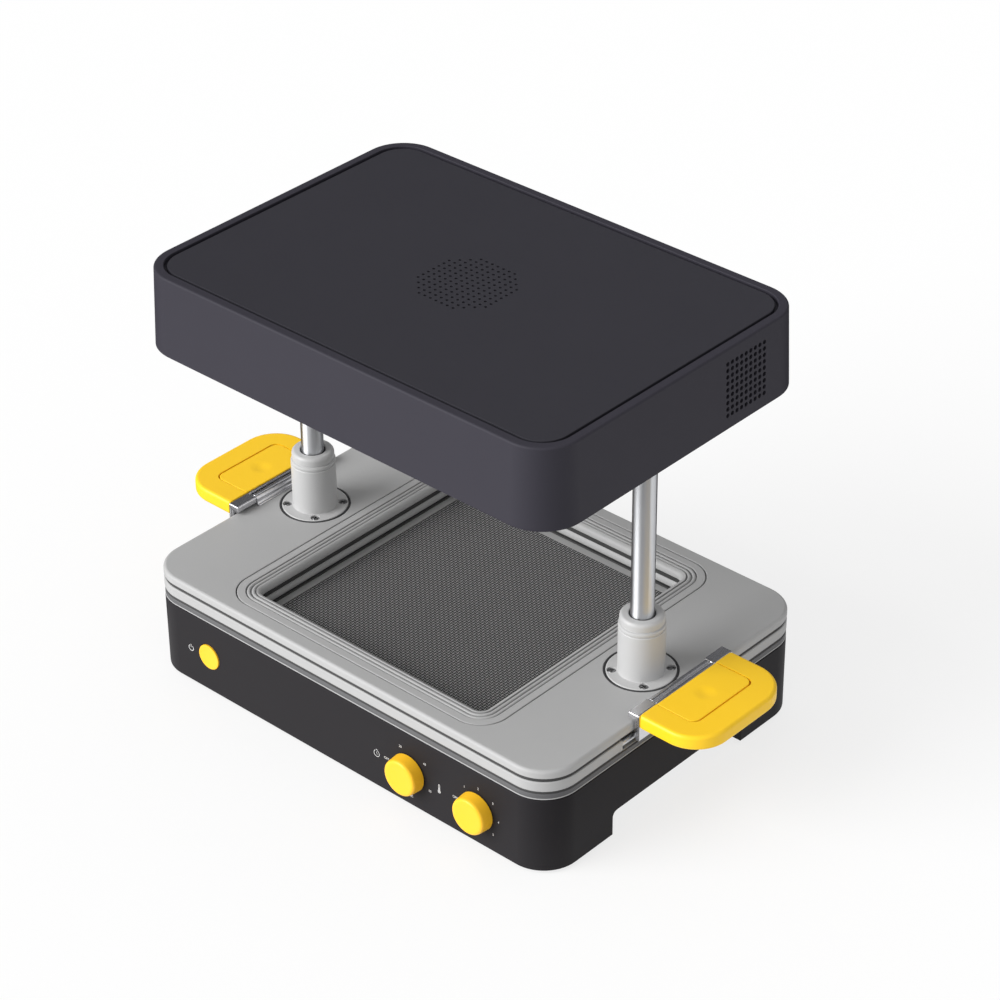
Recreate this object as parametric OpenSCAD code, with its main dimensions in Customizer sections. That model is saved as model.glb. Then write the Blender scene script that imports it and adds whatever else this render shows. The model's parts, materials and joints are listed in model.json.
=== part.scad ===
// Hobby vacuum forming machine, in millimetres.
// X runs to the right, Y to the back, Z up. The origin is the middle of the footprint on the table.
// A base with a perforated bed carries two steel columns, and the heater head sits on top of them.
// A two-part sheet frame slides on the columns. A flip-up handle on each side clamps its halves together.

/* [Sheet frame] */
// Clear square opening of the sheet frame
form_w = 201; // [150:1:260]
// Radius of the corners of the opening
form_r = 6; // [3:0.5:10]
// Width of the ridged band of the ring insert
insert_band = 16.3; // [12:0.1:24]
// Radius of the corners of the ring insert
insert_r = 21; // [16:0.5:26]
// Width of the seam round the insert
seam = 0.8; // [0.4:0.1:1.2]
// Frame in front of and behind the insert
front_web = 10.4; // [8:0.1:30]
// Frame between the insert and a collar
collar_web = 5.65; // [3:0.05:20]
// Frame between a collar and the side edge
side_web = 8.75; // [7:0.05:20]
// Radius of the upright corners of the base and frame
body_r = 26.5; // [20:0.5:31]
// Gap between the deck and the lower frame
rest_gap = 1.5; // [1.2:0.1:3]
// Thickness of the lower frame
lower_t = 7.5; // [6.5:0.5:12]
// Gap between the frames, filled by the two seals
frame_gap = 2.6; // [2:0.1:4]
// Thickness of the upper frame
upper_t = 6; // [5:0.5:10]
// Width of the rubber seals
seal_w = 5; // [3:0.5:6]
// Travel of the sheet frame, with its halves together
lift = 140; // [100:1:200]
// How far the upper frame lifts off the lower one
open_lift = 20; // [10:1:30]

/* [Base] */
// Height of the rubber feet below the base
foot_h = 2; // [1:0.5:5]
// Wall of the base casing
base_wall = 3; // [2:0.5:4]
// Wall of the legs under the base casing
leg_wall = 8; // [6:0.5:9]
// Height of the low arch cut in each side of the base
arch_h = 18.3; // [10:0.1:30]
// Width of the leg on each side of an arch
leg_w = 62.5; // [40:0.5:80]
// Thickness of the steel bottom plate
bottom_t = 1.5; // [1:0.25:3]
// Shadow gap between the casing and the deck
deck_gap = 0.7; // [0.4:0.1:1.5]
// Thickness of the deck
deck_t = 4.5; // [3.5:0.5:8]
// Thickness of the perforated bed
bed_t = 2; // [1:0.25:2.5]
// Margin between the frame's opening and the bed
bed_margin = 5.5; // [3:0.5:12]
// Radius of the bore of the hose socket
pipe_r = 14; // [10:0.5:18]

/* [Columns and collars] */
// Diameter of the columns
column_d = 15.5; // [12:0.5:18]
// Diameter of a collar
collar_d = 31; // [28:0.5:38]
// Height of a collar above the upper frame
collar_h = 44.7; // [38:0.1:60]
// Width of the flange round a collar
flange_rim = 7.5; // [6.5:0.1:10]
// Running clearance of the bushes on the columns, on the radius
run_fit = 0.05; // [0.02:0.01:0.1]

/* [Handles] */
// How far a grip reaches out from its bracket
grip_reach = 49.5; // [40:0.5:70]
// Width of a grip
grip_w = 92.6; // [80:0.2:110]
// Thickness of a grip
grip_t = 10.7; // [9:0.1:14]
// Radius of a grip's outer corners
grip_r = 25.5; // [15:0.5:32]
// Diameter of the hinge barrel
barrel_d = 6.6; // [5.6:0.2:8]
// Width of the fixed hinge leaf
leaf_w = 56.6; // [40:0.2:66]

/* [Controls] */
// Diameter of the control knobs
knob_d = 27.6; // [20:0.2:34]
// How far the knobs stand out of the front
knob_h = 10; // [9:0.5:16]
// Distance of the timer knob from the right side
timer_inset = 118.4; // [105:0.1:130]
// Distance of the temperature knob from the right side
temperature_inset = 59.3; // [52:0.1:70]
// Height of the knob axes above the bottom plate
knob_rise = 5; // [4:0.1:12]
// Diameter of the power button
button_d = 18.6; // [12:0.2:22]
// Distance of the power button from the left side
button_inset = 57; // [52:0.5:80]
// Height of the power button above the bottom plate
button_rise = 7.4; // [6:0.1:10]

/* [Heater head] */
// Step in from the frame's side to the head's top
head_step_x = 5.8; // [0:0.1:12]
// Step in from the frame's front to the head's top
head_step_y = 5.5; // [0:0.1:12]
// Space left above the raised frame
head_clear = 12.4; // [10:0.1:20]
// Radius of the heater head's upright corners
head_r = 28; // [20:0.5:34]
// How far the head's sides flare out on each side, from top to bottom
head_flare = 2.3; // [0:0.1:4]
// Wall of the heater head
head_wall = 3; // [2:0.5:3.5]
// Width of the rim round the top panel
rim_w = 7; // [5:0.5:9]
// Gap round the top panel
panel_gap = 1.2; // [0.6:0.1:1.6]

/* [Hidden] */
$fn = 72;

// Overrun of a cut past the face it opens
cut = 1;
// Gap between pieces that sit together
fit = 0.2;
// Gap between bodies that move past each other
slip = 0.3;

// Collars and columns, from the opening out to the side edge
flange_gap = 1;
flange_d = collar_d + 2 * flange_rim;
insert_w = form_w + 2 * insert_band;
column_x = insert_w / 2 + seam + collar_web + flange_gap + flange_d / 2;
column_r = column_d / 2;
body_w = 2 * (column_x + flange_d / 2 + flange_gap + side_web);
body_d = insert_w + 2 * seam + 2 * front_web;

// Pipe and its flange set the height inside the base
pipe_wall = 1.4;
pipe_lip = 2;
pipe_room = 0.1;
pipe_flange_r = pipe_r + pipe_wall + pipe_lip;
pipe_flange_t = 3;
pipe_out = knob_h;

// Levels, from the table up
arch_cover = 1.2;
base_z = foot_h;
ledge_z = base_z + arch_h + arch_cover;
bottom_top = ledge_z + bottom_t;
base_top = bottom_top + 2 * pipe_flange_r + 2 * pipe_room;
deck_z = base_top + deck_gap;
deck_top = deck_z + deck_t;
lower_z = deck_top + rest_gap;
lower_top = lower_z + lower_t;
upper_z = lower_top + frame_gap;
upper_top = upper_z + upper_t;
head_z = upper_top + lift + open_lift + head_clear;
pipe_z = (bottom_top + base_top) / 2;

// What holds the columns
bolt_r = 5;
bolt_head_r = 14;
bolt_head_h = 4;
bolt_depth = 18;
socket_wall = 6.25;
socket_r = column_r + socket_wall;
socket_flange_r = 20;
socket_flange_t = 4;
socket_gap = 8;
socket_h = base_top - bottom_top - socket_gap;
well_gap = 2.5;
well_wall = 1.5;
well_r = collar_d / 2 + well_gap;
well_room = 3;
well_top = upper_top + collar_h + lift + open_lift + well_room;
clamp_w = 36;
clamp_t = 9;
column_top = well_top + well_wall + clamp_t;

// Height of the head, from what stands in it
roof_gap = 0.4;
roof_t = 3;
panel_t = 3;
panel_sink = 0.4;
panel_z = column_top + bolt_head_h + roof_gap + roof_t;
head_top = panel_z + panel_t + panel_sink;

// Base inside
pad_r = 14;
pad_inset = 20;
foot_r = 9;
foot_sink = 1.5;
pad_x = body_w / 2 - pad_inset;
pad_y = body_d / 2 - pad_inset;
screw_r = 1.75;
screw_head_r = 3.4;
screw_head_h = 2.2;
pillar_r = 5;
pillar_x = pad_x - pad_r - 2 * screw_head_r;
pillar_y = pad_y;
arch_w = body_d - 2 * leg_w;
arch_r = 4;

// Bed and chamber
bed_w = form_w - 2 * bed_margin;
bed_r = 3;
bed_ledge = 5;
bed_hole_d = 4;
bed_holes = 15;
chamber_wall = 2;
chamber_z = bottom_top + 2.5 * chamber_wall;
chamber_w = bed_w - 2 * bed_ledge + 2 * chamber_wall;
plate_gap = 0.1;
rib_t = 2;
rib_count = 3;
rib_foot = 8;
rib_gap = 6;

// Power inlet at the back
inlet_inset = 70;
inlet_x = inlet_inset - body_w / 2;
inlet_z = pipe_z;
inlet_w = 24;
inlet_h = 16.4;
inlet_depth = 17;
inlet_wall = 2;
inlet_flange = 5;
inlet_flange_t = 2.5;
pin_w = 2;
pin_tall = 4;
pin_l = 11;
pin_spread = 7;
pin_rise = 2;

// Controls behind the front wall
timer_x = body_w / 2 - timer_inset;
temperature_x = body_w / 2 - temperature_inset;
knob_z = bottom_top + knob_rise;
button_x = button_inset - body_w / 2;
button_z = bottom_top + button_rise;
board_setback = 16;
board_y = board_setback - body_d / 2;
board_t = 1.6;
board_rise = 0.5;
board_inset = 50;
board_w = body_w - 2 * board_inset;
board_low = bottom_top + board_rise;
board_gap = 4.5;
board_h = base_top - board_low - board_gap;
relay_w = 12;
relay_h = 17;
relay_t = 12;
post_r = 3;
post_pilot_r = 1.2;
post_inset = 45;
post_x = board_w / 2 - post_inset;
post_rise = 6;
shaft_r = 3;
shaft_hole_r = 4;
encoder_w = 11;
encoder_h = 2 * (knob_rise - board_rise);
encoder_t = 8;
knob_gap = 0.5;
knob_bore_depth = 8;
knob_taper = 0.8;
knob_edge = 1;
button_out = 1;
button_travel = 2;
stem_r = 3;
switch_w = 14;
switch_h = 12;
ear_reach = 2.2;
ear_w = button_d + 2 * ear_reach;
ear_h = 7;
ear_t = 1.2;
button_room = base_wall + slip + ear_t + button_travel + slip;

// Sheet frame
insert_ledge = 5;
insert_lip_t = 3.5;
lower_bush_wall = 3.25;
bush_r = column_r + lower_bush_wall;
bush_rim = 2.5;
bush_rim_t = 1.5;
keeper_r = 1.5;
keeper_in = 2.5;
keeper_rise = 2.9;
keeper_x = body_w / 2 - keeper_in;
keeper_z = lower_z + keeper_rise;
keeper_bite = 6;
ridge_h = 0.7;
ridge_shares = [[0, 0.344], [0.387, 0.589], [0.62, 0.847], [0.877, 1]];

// Collars
flange_t = 2.2;
flange_sink = 0.4;
collar_bush_wall = 2.75;
spigot_wall = 2.3;
bore_gap = 1.05;
collar_bush_r = column_r + collar_bush_wall;
spigot_r = collar_bush_r + spigot_wall;
collar_bore_r = column_r + bore_gap;
collar_bush_l = 34;
collar_lip_h = 6.5;
collar_bead_h = 3.7;
collar_step = 0.8;
collar_groove = 0.6;
collar_round = 2.4;
screw_circle_r = (collar_d + flange_d) / 4;
flange_screw_r = 1.5;
flange_screw_head_r = 2.9;
flange_screw_head_h = 1.4;

// Handles
barrel_r = barrel_d / 2;
barrel_in = 1.4;
barrel_x = body_w / 2 - barrel_in;
barrel_z = upper_top + slip + barrel_r;
hinge_pin_r = 1.5;
hinge_fit = 0.06;
knuckle_over = 0.7;
knuckle_w = grip_w + 2 * knuckle_over;
leaf_foot = 2;
leaf_t = 1;
leg_gap = 0.5;
leg_x = barrel_x + barrel_r + leg_gap;
leg_t = 2.1;
leg_rise = 3.3;
leg_low = lower_z + leg_rise;
cheek_t = 2;
cheek_in = 1.7;
notch_gap = 10;
notch_w = knuckle_w + 2 * notch_gap;
notch_d = 8;
grip_x = leg_x + leg_t;
grip_rise = 3.7;
grip_top = barrel_z + grip_rise;
grip_edge = 2.5;
pad_margin = 18.9;
pad_side = 16.8;
pad_reach = grip_reach - pad_margin;
pad_w = grip_w - 2 * pad_side;
pad_round = 6;
pad_t = 3.6;
pad_gap = 0.35;
grip_screw_r = 1.6;
grip_screw_head_r = 2.6;
grip_screw_head_h = 1;
grip_screw_in = 8.3;
grip_screw_y = leaf_w / 2 - grip_screw_in;
grip_screw_l = 14;
grip_screw_z = grip_top - grip_t + 2.3 * grip_screw_r;

// Heater head
head_w = body_w - 2 * head_step_x;
head_d = body_d - 2 * head_step_y;
panel_w = head_w - 2 * rim_w - 2 * panel_gap;
panel_d = head_d - 2 * rim_w - 2 * panel_gap;
panel_r = head_r - rim_w - panel_gap;
panel_ledge = 7;
vent_n = 9;
vent_pitch = 4.5;
vent_hole_d = 2.8;
vent_inset = 61;
vent_rise = 28;
vent_y = head_d / 2 - vent_inset;
vent_z = head_z + vent_rise;
field_n = 13;
field_pitch = 4.8;
field_hole_d = 2.2;
under_t = 2;
under_lift = 1.8;
boss_r = 4;
boss_h = 16;
boss_x_shares = [-0.4, 0, 0.4];
boss_y = head_d / 2 + head_flare - head_wall - boss_r + fit;
reflector_gap = 9.75;
reflector_t = 1;
insulation_t = 10;
roof_space = 7.4;
reflector_w = 2 * (column_x - well_r - well_wall - reflector_gap);
reflector_d = 2 * (boss_y - boss_r - slip);
reflector_z = head_z + under_lift + under_t;
reflector_h = panel_z - roof_t - roof_space - insulation_t - reflector_z;
tube_r = 5;
tube_n = 5;
tube_gap = 11;
tube_l = reflector_w - 2 * tube_gap;
tube_pitch = reflector_d / (tube_n + 1);
tube_z = reflector_z + reflector_h - reflector_t - 2.4 * tube_r;
holder_t = 3;
holder_end = 16;
holder_w = tube_pitch * (tube_n - 1) + 2 * holder_end;
holder_h = 20;
guard_lap = 3;
guard_w = reflector_d - 2 * reflector_t - 2 * slip;
heat_w = guard_w - 2 * guard_lap;
guard_rod_r = 1;
guard_rods = 11;
sensor_r = 3;
sensor_l = 22;

// Thickness of the thin end slices that a flared block is stretched between
slice = 0.01;

// Rounded rectangle, w by d, with corner radius r
module plan(w, d, r) {
    square([w - 2 * r, d], center = true);
    square([w, d - 2 * r], center = true);
    for (sx = [-1, 1], sy = [-1, 1])
        translate([sx * (w / 2 - r), sy * (d / 2 - r)])
            circle(r);
}

// Rounded plate from level low to level high
module slab(w, d, r, low, high) {
    translate([0, 0, low])
        linear_extrude(high - low)
            plan(w, d, r);
}

// Flat rounded ring between two outlines
module ring(w_out, r_out, w_in, r_in, low, high) {
    translate([0, 0, low])
        linear_extrude(high - low)
            difference() {
                plan(w_out, w_out, r_out);
                plan(w_in, w_in, r_in);
            }
}

// Round bar along Y, from y = from to y = to
module bar_y(r, from, to) {
    translate([0, from, 0])
        rotate([-90, 0, 0])
            cylinder(r = r, h = to - from);
}

// Round bar along X
module bar_x(r, from, to) {
    translate([from, 0, 0])
        rotate([0, 90, 0])
            cylinder(r = r, h = to - from);
}

// Children at both columns
module at_columns() {
    for (side = [-1, 1])
        translate([side * column_x, 0, 0])
            children();
}

// Children at the four corners x, y
module at_corners(x, y) {
    for (sx = [-1, 1], sy = [-1, 1])
        translate([sx * x, sy * y, 0])
            children();
}

// Children mirrored to the left side, or left on the right
module on_side(side) {
    if (side < 0) mirror([1, 0, 0]) children();
    else children();
}

// Pan head screw with its head seated on level seat, shank going down by length
module screw_down(shank_r, head_r, head_h, seat, length) {
    translate([0, 0, seat]) cylinder(r = head_r, h = head_h);
    translate([0, 0, seat - length]) cylinder(r = shank_r, h = length + head_h / 2);
}

// The same screw put in from below
module screw_up(shank_r, head_r, head_h, seat, length) {
    translate([0, 0, seat - head_h]) cylinder(r = head_r, h = head_h);
    translate([0, 0, seat - head_h / 2]) cylinder(r = shank_r, h = length + head_h / 2);
}

// Base

module base_shell() {
    inner_w = body_w - 2 * base_wall;
    inner_d = body_d - 2 * base_wall;
    foot_w = body_w - 2 * leg_wall;
    foot_d = body_d - 2 * leg_wall;
    color([0.16, 0.16, 0.17])
    difference() {
        union() {
            difference() {
                slab(body_w, body_d, body_r, base_z, base_top);
                slab(inner_w, inner_d, body_r - base_wall, ledge_z, base_top + cut);
                slab(foot_w, foot_d, body_r - leg_wall, base_z - cut, ledge_z + cut);
            }
            at_corners(pad_x, pad_y)
                translate([0, 0, base_z])
                    cylinder(r = pad_r, h = ledge_z - base_z);
            for (sx = [-1, 1], rise = [0, 1])
                translate([sx * post_x, 0, board_low + post_rise + rise * (board_h - 2 * post_rise)])
                    bar_y(post_r, -body_d / 2 + base_wall / 2, board_y);
        }
        at_corners(pad_x, pad_y)
            translate([0, 0, base_z - cut])
                cylinder(r = foot_r + fit, h = foot_sink + cut);
        translate([0, 0, base_z - cut])
            arch_cut();
        for (x = [timer_x, temperature_x])
            translate([x, 0, knob_z])
                bar_y(shaft_hole_r, -body_d / 2 - cut, -body_d / 2 + base_wall + cut);
        translate([button_x, 0, button_z])
            bar_y(button_d / 2 + slip, -body_d / 2 - cut, -body_d / 2 + button_room);
        for (sx = [-1, 1], rise = [0, 1])
            translate([sx * post_x, 0, board_low + post_rise + rise * (board_h - 2 * post_rise)])
                bar_y(post_pilot_r, -body_d / 2 + base_wall, board_y + cut);
        translate([0, 0, pipe_z])
            bar_y(pipe_r + pipe_wall + fit, body_d / 2 - leg_wall - cut, body_d / 2 + cut);
        translate([inlet_x, body_d / 2, inlet_z])
            cube([inlet_w + 2 * inlet_wall + 2 * fit, 2 * leg_wall, inlet_h + 2 * inlet_wall + 2 * fit],
                center = true);
    }
}

// Low opening through both side walls, with rounded upper corners
module arch_cut() {
    height = arch_h + cut;
    rotate([90, 0, 90])
        translate([0, 0, -body_w / 2 - cut])
            linear_extrude(body_w + 2 * cut)
                union() {
                    translate([-arch_w / 2, 0]) square([arch_w, height - arch_r]);
                    translate([-arch_w / 2 + arch_r, 0]) square([arch_w - 2 * arch_r, height]);
                    for (side = [-1, 1])
                        translate([side * (arch_w / 2 - arch_r), height - arch_r]) circle(arch_r);
                }
}

module base_plate() {
    w = body_w - 2 * base_wall - 2 * fit;
    d = body_d - 2 * base_wall - 2 * fit;
    color([0.6, 0.61, 0.62])
    difference() {
        slab(w, d, body_r - base_wall - fit, ledge_z, bottom_top);
        at_columns()
            translate([0, 0, ledge_z - cut]) cylinder(r = bolt_r + fit, h = bottom_t + 2 * cut);
        at_corners(pillar_x, pillar_y)
            translate([0, 0, ledge_z - cut]) cylinder(r = screw_r + fit, h = bottom_t + 2 * cut);
        translate([button_x - ear_w / 2, -body_d / 2, ledge_z - cut])
            cube([ear_w, button_room, bottom_t + 2 * cut]);
    }
}

module rubber_feet() {
    color([0.08, 0.08, 0.08])
    at_corners(pad_x, pad_y)
        cylinder(r = foot_r, h = foot_h + foot_sink);
}

module base_screws() {
    color([0.7, 0.7, 0.72])
    at_corners(pillar_x, pillar_y)
        screw_up(screw_r, screw_head_r, screw_head_h, ledge_z, bottom_t + bolt_depth);
}

module base_deck() {
    well_w = bed_w - 2 * bed_ledge;
    color([0.5, 0.51, 0.51])
    difference() {
        union() {
            slab(body_w, body_d, body_r, deck_z, deck_top);
            at_corners(pillar_x, pillar_y)
                translate([0, 0, bottom_top]) cylinder(r = pillar_r, h = deck_z - bottom_top + cut);
        }
        slab(bed_w + 2 * fit, bed_w + 2 * fit, bed_r + fit, deck_top - bed_t, deck_top + cut);
        slab(well_w, well_w, bed_r, deck_z - cut, deck_top);
        at_columns()
            translate([0, 0, deck_z - cut]) cylinder(r = column_r + run_fit + fit, h = deck_t + 2 * cut);
        at_corners(pillar_x, pillar_y)
            translate([0, 0, bottom_top - cut]) cylinder(r = screw_r + fit, h = bolt_depth + 2 * cut);
    }
}

module forming_bed() {
    pitch = (bed_w - 2 * bed_ledge) / bed_holes;
    first = -pitch * (bed_holes - 1) / 2;
    color([0.22, 0.22, 0.22])
    translate([0, 0, deck_top - bed_t])
        linear_extrude(bed_t)
            difference() {
                plan(bed_w, bed_w, bed_r);
                for (i = [0:bed_holes - 1], j = [0:bed_holes - 1])
                    translate([first + i * pitch, first + j * pitch]) circle(d = bed_hole_d, $fn = 16);
            }
}

module bed_gasket() {
    color([0.06, 0.06, 0.06])
    ring(form_w + 2 * seal_w, form_r + seal_w, form_w, form_r, deck_top, lower_z - slip);
}

// Chamber of five flat plates: a floor and four walls that stand on it, closed above by the deck
module vacuum_chamber() {
    inner = chamber_w - 2 * chamber_wall;
    middle = (chamber_w - chamber_wall) / 2;
    low = chamber_z + chamber_wall + plate_gap;
    wall_h = deck_z - low;
    color([0.3, 0.3, 0.31])
    difference() {
        union() {
            translate([-chamber_w / 2, -chamber_w / 2, chamber_z]) cube([chamber_w, chamber_w, chamber_wall]);
            for (side = [-1, 1]) {
                translate([side * middle - chamber_wall / 2, -chamber_w / 2, low])
                    cube([chamber_wall, chamber_w, wall_h]);
                translate([-inner / 2 + plate_gap, side * middle - chamber_wall / 2, low])
                    cube([inner - 2 * plate_gap, chamber_wall, wall_h]);
            }
        }
        translate([0, 0, pipe_z])
            bar_y(pipe_r + pipe_wall + fit, inner / 2 - cut, chamber_w / 2 + cut);
    }
}

// Upright ribs that carry the bed, each on two feet with a gap for air between them
module chamber_ribs() {
    inner = chamber_w - 2 * chamber_wall;
    length = inner - 2 * bed_r;
    low = chamber_z + chamber_wall;
    color([0.3, 0.3, 0.31])
    for (i = [1:rib_count])
        translate([-inner / 2 + i * inner / (rib_count + 1) - rib_t / 2, 0, 0])
            difference() {
                translate([0, -length / 2, low]) cube([rib_t, length, deck_top - bed_t - low]);
                translate([-cut, -length / 2 + rib_foot, low - cut])
                    cube([rib_t + 2 * cut, length - 2 * rib_foot, rib_gap + cut]);
            }
}

module vacuum_pipe() {
    back = body_d / 2 + pipe_out;
    color([0.13, 0.13, 0.14])
    translate([0, 0, pipe_z])
        difference() {
            union() {
                bar_y(pipe_r + pipe_wall, chamber_w / 2 - chamber_wall, back);
                bar_y(pipe_flange_r, body_d / 2, body_d / 2 + pipe_flange_t);
            }
            bar_y(pipe_r, chamber_w / 2 - chamber_wall - cut, back + cut);
        }
}

module inlet_body() {
    outer_w = inlet_w + 2 * inlet_wall;
    outer_h = inlet_h + 2 * inlet_wall;
    color([0.1, 0.1, 0.1])
    translate([inlet_x, body_d / 2, inlet_z])
        difference() {
            union() {
                translate([-outer_w / 2, -inlet_depth - inlet_wall, -outer_h / 2])
                    cube([outer_w, inlet_depth + inlet_wall, outer_h]);
                translate([-outer_w / 2 - inlet_flange, 0, -outer_h / 2 - inlet_wall])
                    cube([outer_w + 2 * inlet_flange, inlet_flange_t, outer_h + 2 * inlet_wall]);
            }
            translate([-inlet_w / 2, -inlet_depth, -inlet_h / 2])
                cube([inlet_w, inlet_depth + inlet_flange_t + cut, inlet_h]);
        }
}

module inlet_pins() {
    color([0.75, 0.72, 0.6])
    translate([inlet_x, body_d / 2 - inlet_depth, inlet_z])
        for (i = [-1:1])
            translate([i * pin_spread - pin_w / 2, 0, -pin_tall / 2 - (abs(i) - 0.5) * pin_rise])
                cube([pin_w, pin_l, pin_tall]);
}

module control_board() {
    color([0.1, 0.35, 0.2])
    difference() {
        union() {
            translate([-board_w / 2, board_y, board_low]) cube([board_w, board_t, board_h]);
            for (i = [-2:2])
                translate([(2 * i - 0.5) * relay_w, board_y + board_t - fit, board_low + post_rise])
                    cube([relay_w, relay_t + fit, relay_h]);
        }
        for (sx = [-1, 1], rise = [0, 1])
            translate([sx * post_x, 0, board_low + post_rise + rise * (board_h - 2 * post_rise)])
                bar_y(post_pilot_r + fit, board_y - cut, board_y + board_t + cut);
    }
}

module board_screws() {
    color([0.7, 0.7, 0.72])
    for (sx = [-1, 1], rise = [0, 1])
        translate([sx * post_x, 0, board_low + post_rise + rise * (board_h - 2 * post_rise)]) {
            bar_y(post_pilot_r - run_fit, board_y - post_rise, board_y + board_t + post_pilot_r);
            bar_y(2 * post_pilot_r, board_y + board_t, board_y + board_t + post_pilot_r);
        }
}

// Rotary encoders on the board, each with a bore for its shaft
module dial_encoders() {
    color([0.35, 0.36, 0.37])
    for (x = [timer_x, temperature_x])
        translate([x, 0, knob_z])
            difference() {
                translate([-encoder_w / 2, board_y - encoder_t, -encoder_h / 2])
                    cube([encoder_w, encoder_t, encoder_h]);
                bar_y(shaft_r + run_fit, board_y - encoder_t - cut, board_y - encoder_t / 4);
            }
}

module power_switch() {
    reach = board_y + body_d / 2 - base_wall - button_travel - ear_t - 2 * slip - stem_r;
    color([0.2, 0.2, 0.2])
    translate([button_x - switch_w / 2, board_y - reach, board_low])
        cube([switch_w, reach, switch_h]);
}

// Knob with a blind bore, its axis along Y
module knob(x) {
    front = -body_d / 2 - knob_h;
    back = -body_d / 2 - knob_gap;
    r_back = knob_d / 2;
    r_front = r_back - knob_taper;
    color([0.98, 0.85, 0.2])
    translate([x, front, knob_z])
        rotate([-90, 0, 0])
            rotate_extrude()
                polygon([
                    [0, 0],
                    [r_front - knob_edge, 0],
                    for (a = [15:15:90])
                        [r_front - knob_edge + knob_edge * sin(a), knob_edge * (1 - cos(a))],
                    [r_back, back - front],
                    [shaft_r + run_fit, back - front],
                    [shaft_r + run_fit, back - front - knob_bore_depth],
                    [0, back - front - knob_bore_depth]
                ]);
}

module knob_shaft(x) {
    color([0.72, 0.72, 0.73])
    translate([x, 0, knob_z])
        bar_y(shaft_r, -body_d / 2 - knob_gap - knob_bore_depth, board_y - encoder_t / 2);
}

module power_button() {
    front = -body_d / 2 - button_out;
    ear_y = -body_d / 2 + base_wall + slip;
    color([0.98, 0.9, 0.2])
    translate([button_x, 0, button_z]) {
        bar_y(button_d / 2, front, ear_y + ear_t / 2);
        translate([-ear_w / 2, ear_y, -ear_h / 2]) cube([ear_w, ear_t, ear_h]);
        bar_y(stem_r, ear_y, ear_y + ear_t + stem_r);
    }
}

// Columns and their fixings

module column(side) {
    color([0.8, 0.8, 0.82])
    translate([side * column_x, 0, bottom_top])
        difference() {
            cylinder(r = column_r, h = column_top - bottom_top);
            translate([0, 0, -cut]) cylinder(r = bolt_r, h = bolt_depth + cut);
            translate([0, 0, column_top - bottom_top - bottom_t - bolt_depth])
                cylinder(r = bolt_r, h = bottom_t + bolt_depth + cut);
        }
}

module column_sockets() {
    color([0.55, 0.56, 0.58])
    at_columns()
        translate([0, 0, bottom_top])
            difference() {
                union() {
                    cylinder(r = socket_flange_r, h = socket_flange_t);
                    cylinder(r = socket_r, h = socket_h);
                }
                translate([0, 0, -cut]) cylinder(r = column_r + run_fit, h = socket_h + 2 * cut);
            }
}

module column_top_clamps() {
    color([0.55, 0.56, 0.58])
    at_columns()
        translate([0, 0, well_top + well_wall])
            difference() {
                translate([-clamp_w / 2, -clamp_w / 2, 0]) cube([clamp_w, clamp_w, clamp_t]);
                translate([0, 0, -cut]) cylinder(r = column_r + run_fit, h = clamp_t + 2 * cut);
            }
}

// The same bolt, with a broad head, at the foot and at the top of each column
module column_bolts() {
    color([0.6, 0.6, 0.6])
    at_columns() {
        screw_up(bolt_r - run_fit, bolt_head_r, bolt_head_h, ledge_z, bottom_t + bolt_depth - cut);
        screw_down(bolt_r - run_fit, bolt_head_r, bolt_head_h, column_top, bottom_t + bolt_depth - cut);
    }
}

// Heater head

// Flared block of the head, inset all round by inset, from low to high
module head_block(inset, low, high) {
    rise = head_top - head_z;
    hull()
        for (z = [low, high])
            translate([0, 0, z])
                linear_extrude(slice)
                    head_outline(inset - head_flare * (head_top - z) / rise);
}

module head_outline(inset) {
    plan(head_w - 2 * inset, head_d - 2 * inset, head_r - inset);
}

module heater_housing() {
    opening_w = panel_w - 2 * panel_ledge;
    opening_d = panel_d - 2 * panel_ledge;
    color([0.2, 0.2, 0.22])
    difference() {
        union() {
            difference() {
                head_block(0, head_z, head_top);
                head_block(head_wall, head_z - cut, panel_z - roof_t);
            }
            for (share = boss_x_shares, sy = [-1, 1])
                translate([share * head_w, sy * boss_y, head_z + under_lift + under_t])
                    cylinder(r = boss_r, h = boss_h);
        }
        slab(panel_w + 2 * panel_gap, panel_d + 2 * panel_gap, panel_r + panel_gap, panel_z, head_top + cut);
        slab(opening_w, opening_d, panel_r - panel_ledge, panel_z - roof_t - cut, panel_z + cut);
        for (share = boss_x_shares, sy = [-1, 1])
            translate([share * head_w, sy * boss_y, head_z])
                cylinder(r = screw_r + run_fit, h = under_lift + under_t + boss_h - cut);
        for (i = [0:vent_n - 1], j = [0:vent_n - 1])
            translate([0, vent_y + (i - (vent_n - 1) / 2) * vent_pitch,
                vent_z + (j - (vent_n - 1) / 2) * vent_pitch])
                bar_x(vent_hole_d / 2, head_w / 2 - head_wall - cut, head_w / 2 + head_flare + cut, $fn = 16);
    }
}

module heater_top_panel() {
    first = -(field_n - 1) / 2;
    color([0.23, 0.23, 0.25])
    translate([0, 0, panel_z])
        linear_extrude(panel_t)
            difference() {
                plan(panel_w, panel_d, panel_r);
                for (i = [0:field_n - 1], j = [0:field_n - 1])
                    if (abs(i + first) + abs(j + first) < 1.6 * (field_n - 1) / 2)
                        translate([(i + first) * field_pitch, (j + first) * field_pitch])
                            circle(d = field_hole_d, $fn = 16);
            }
}

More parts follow.
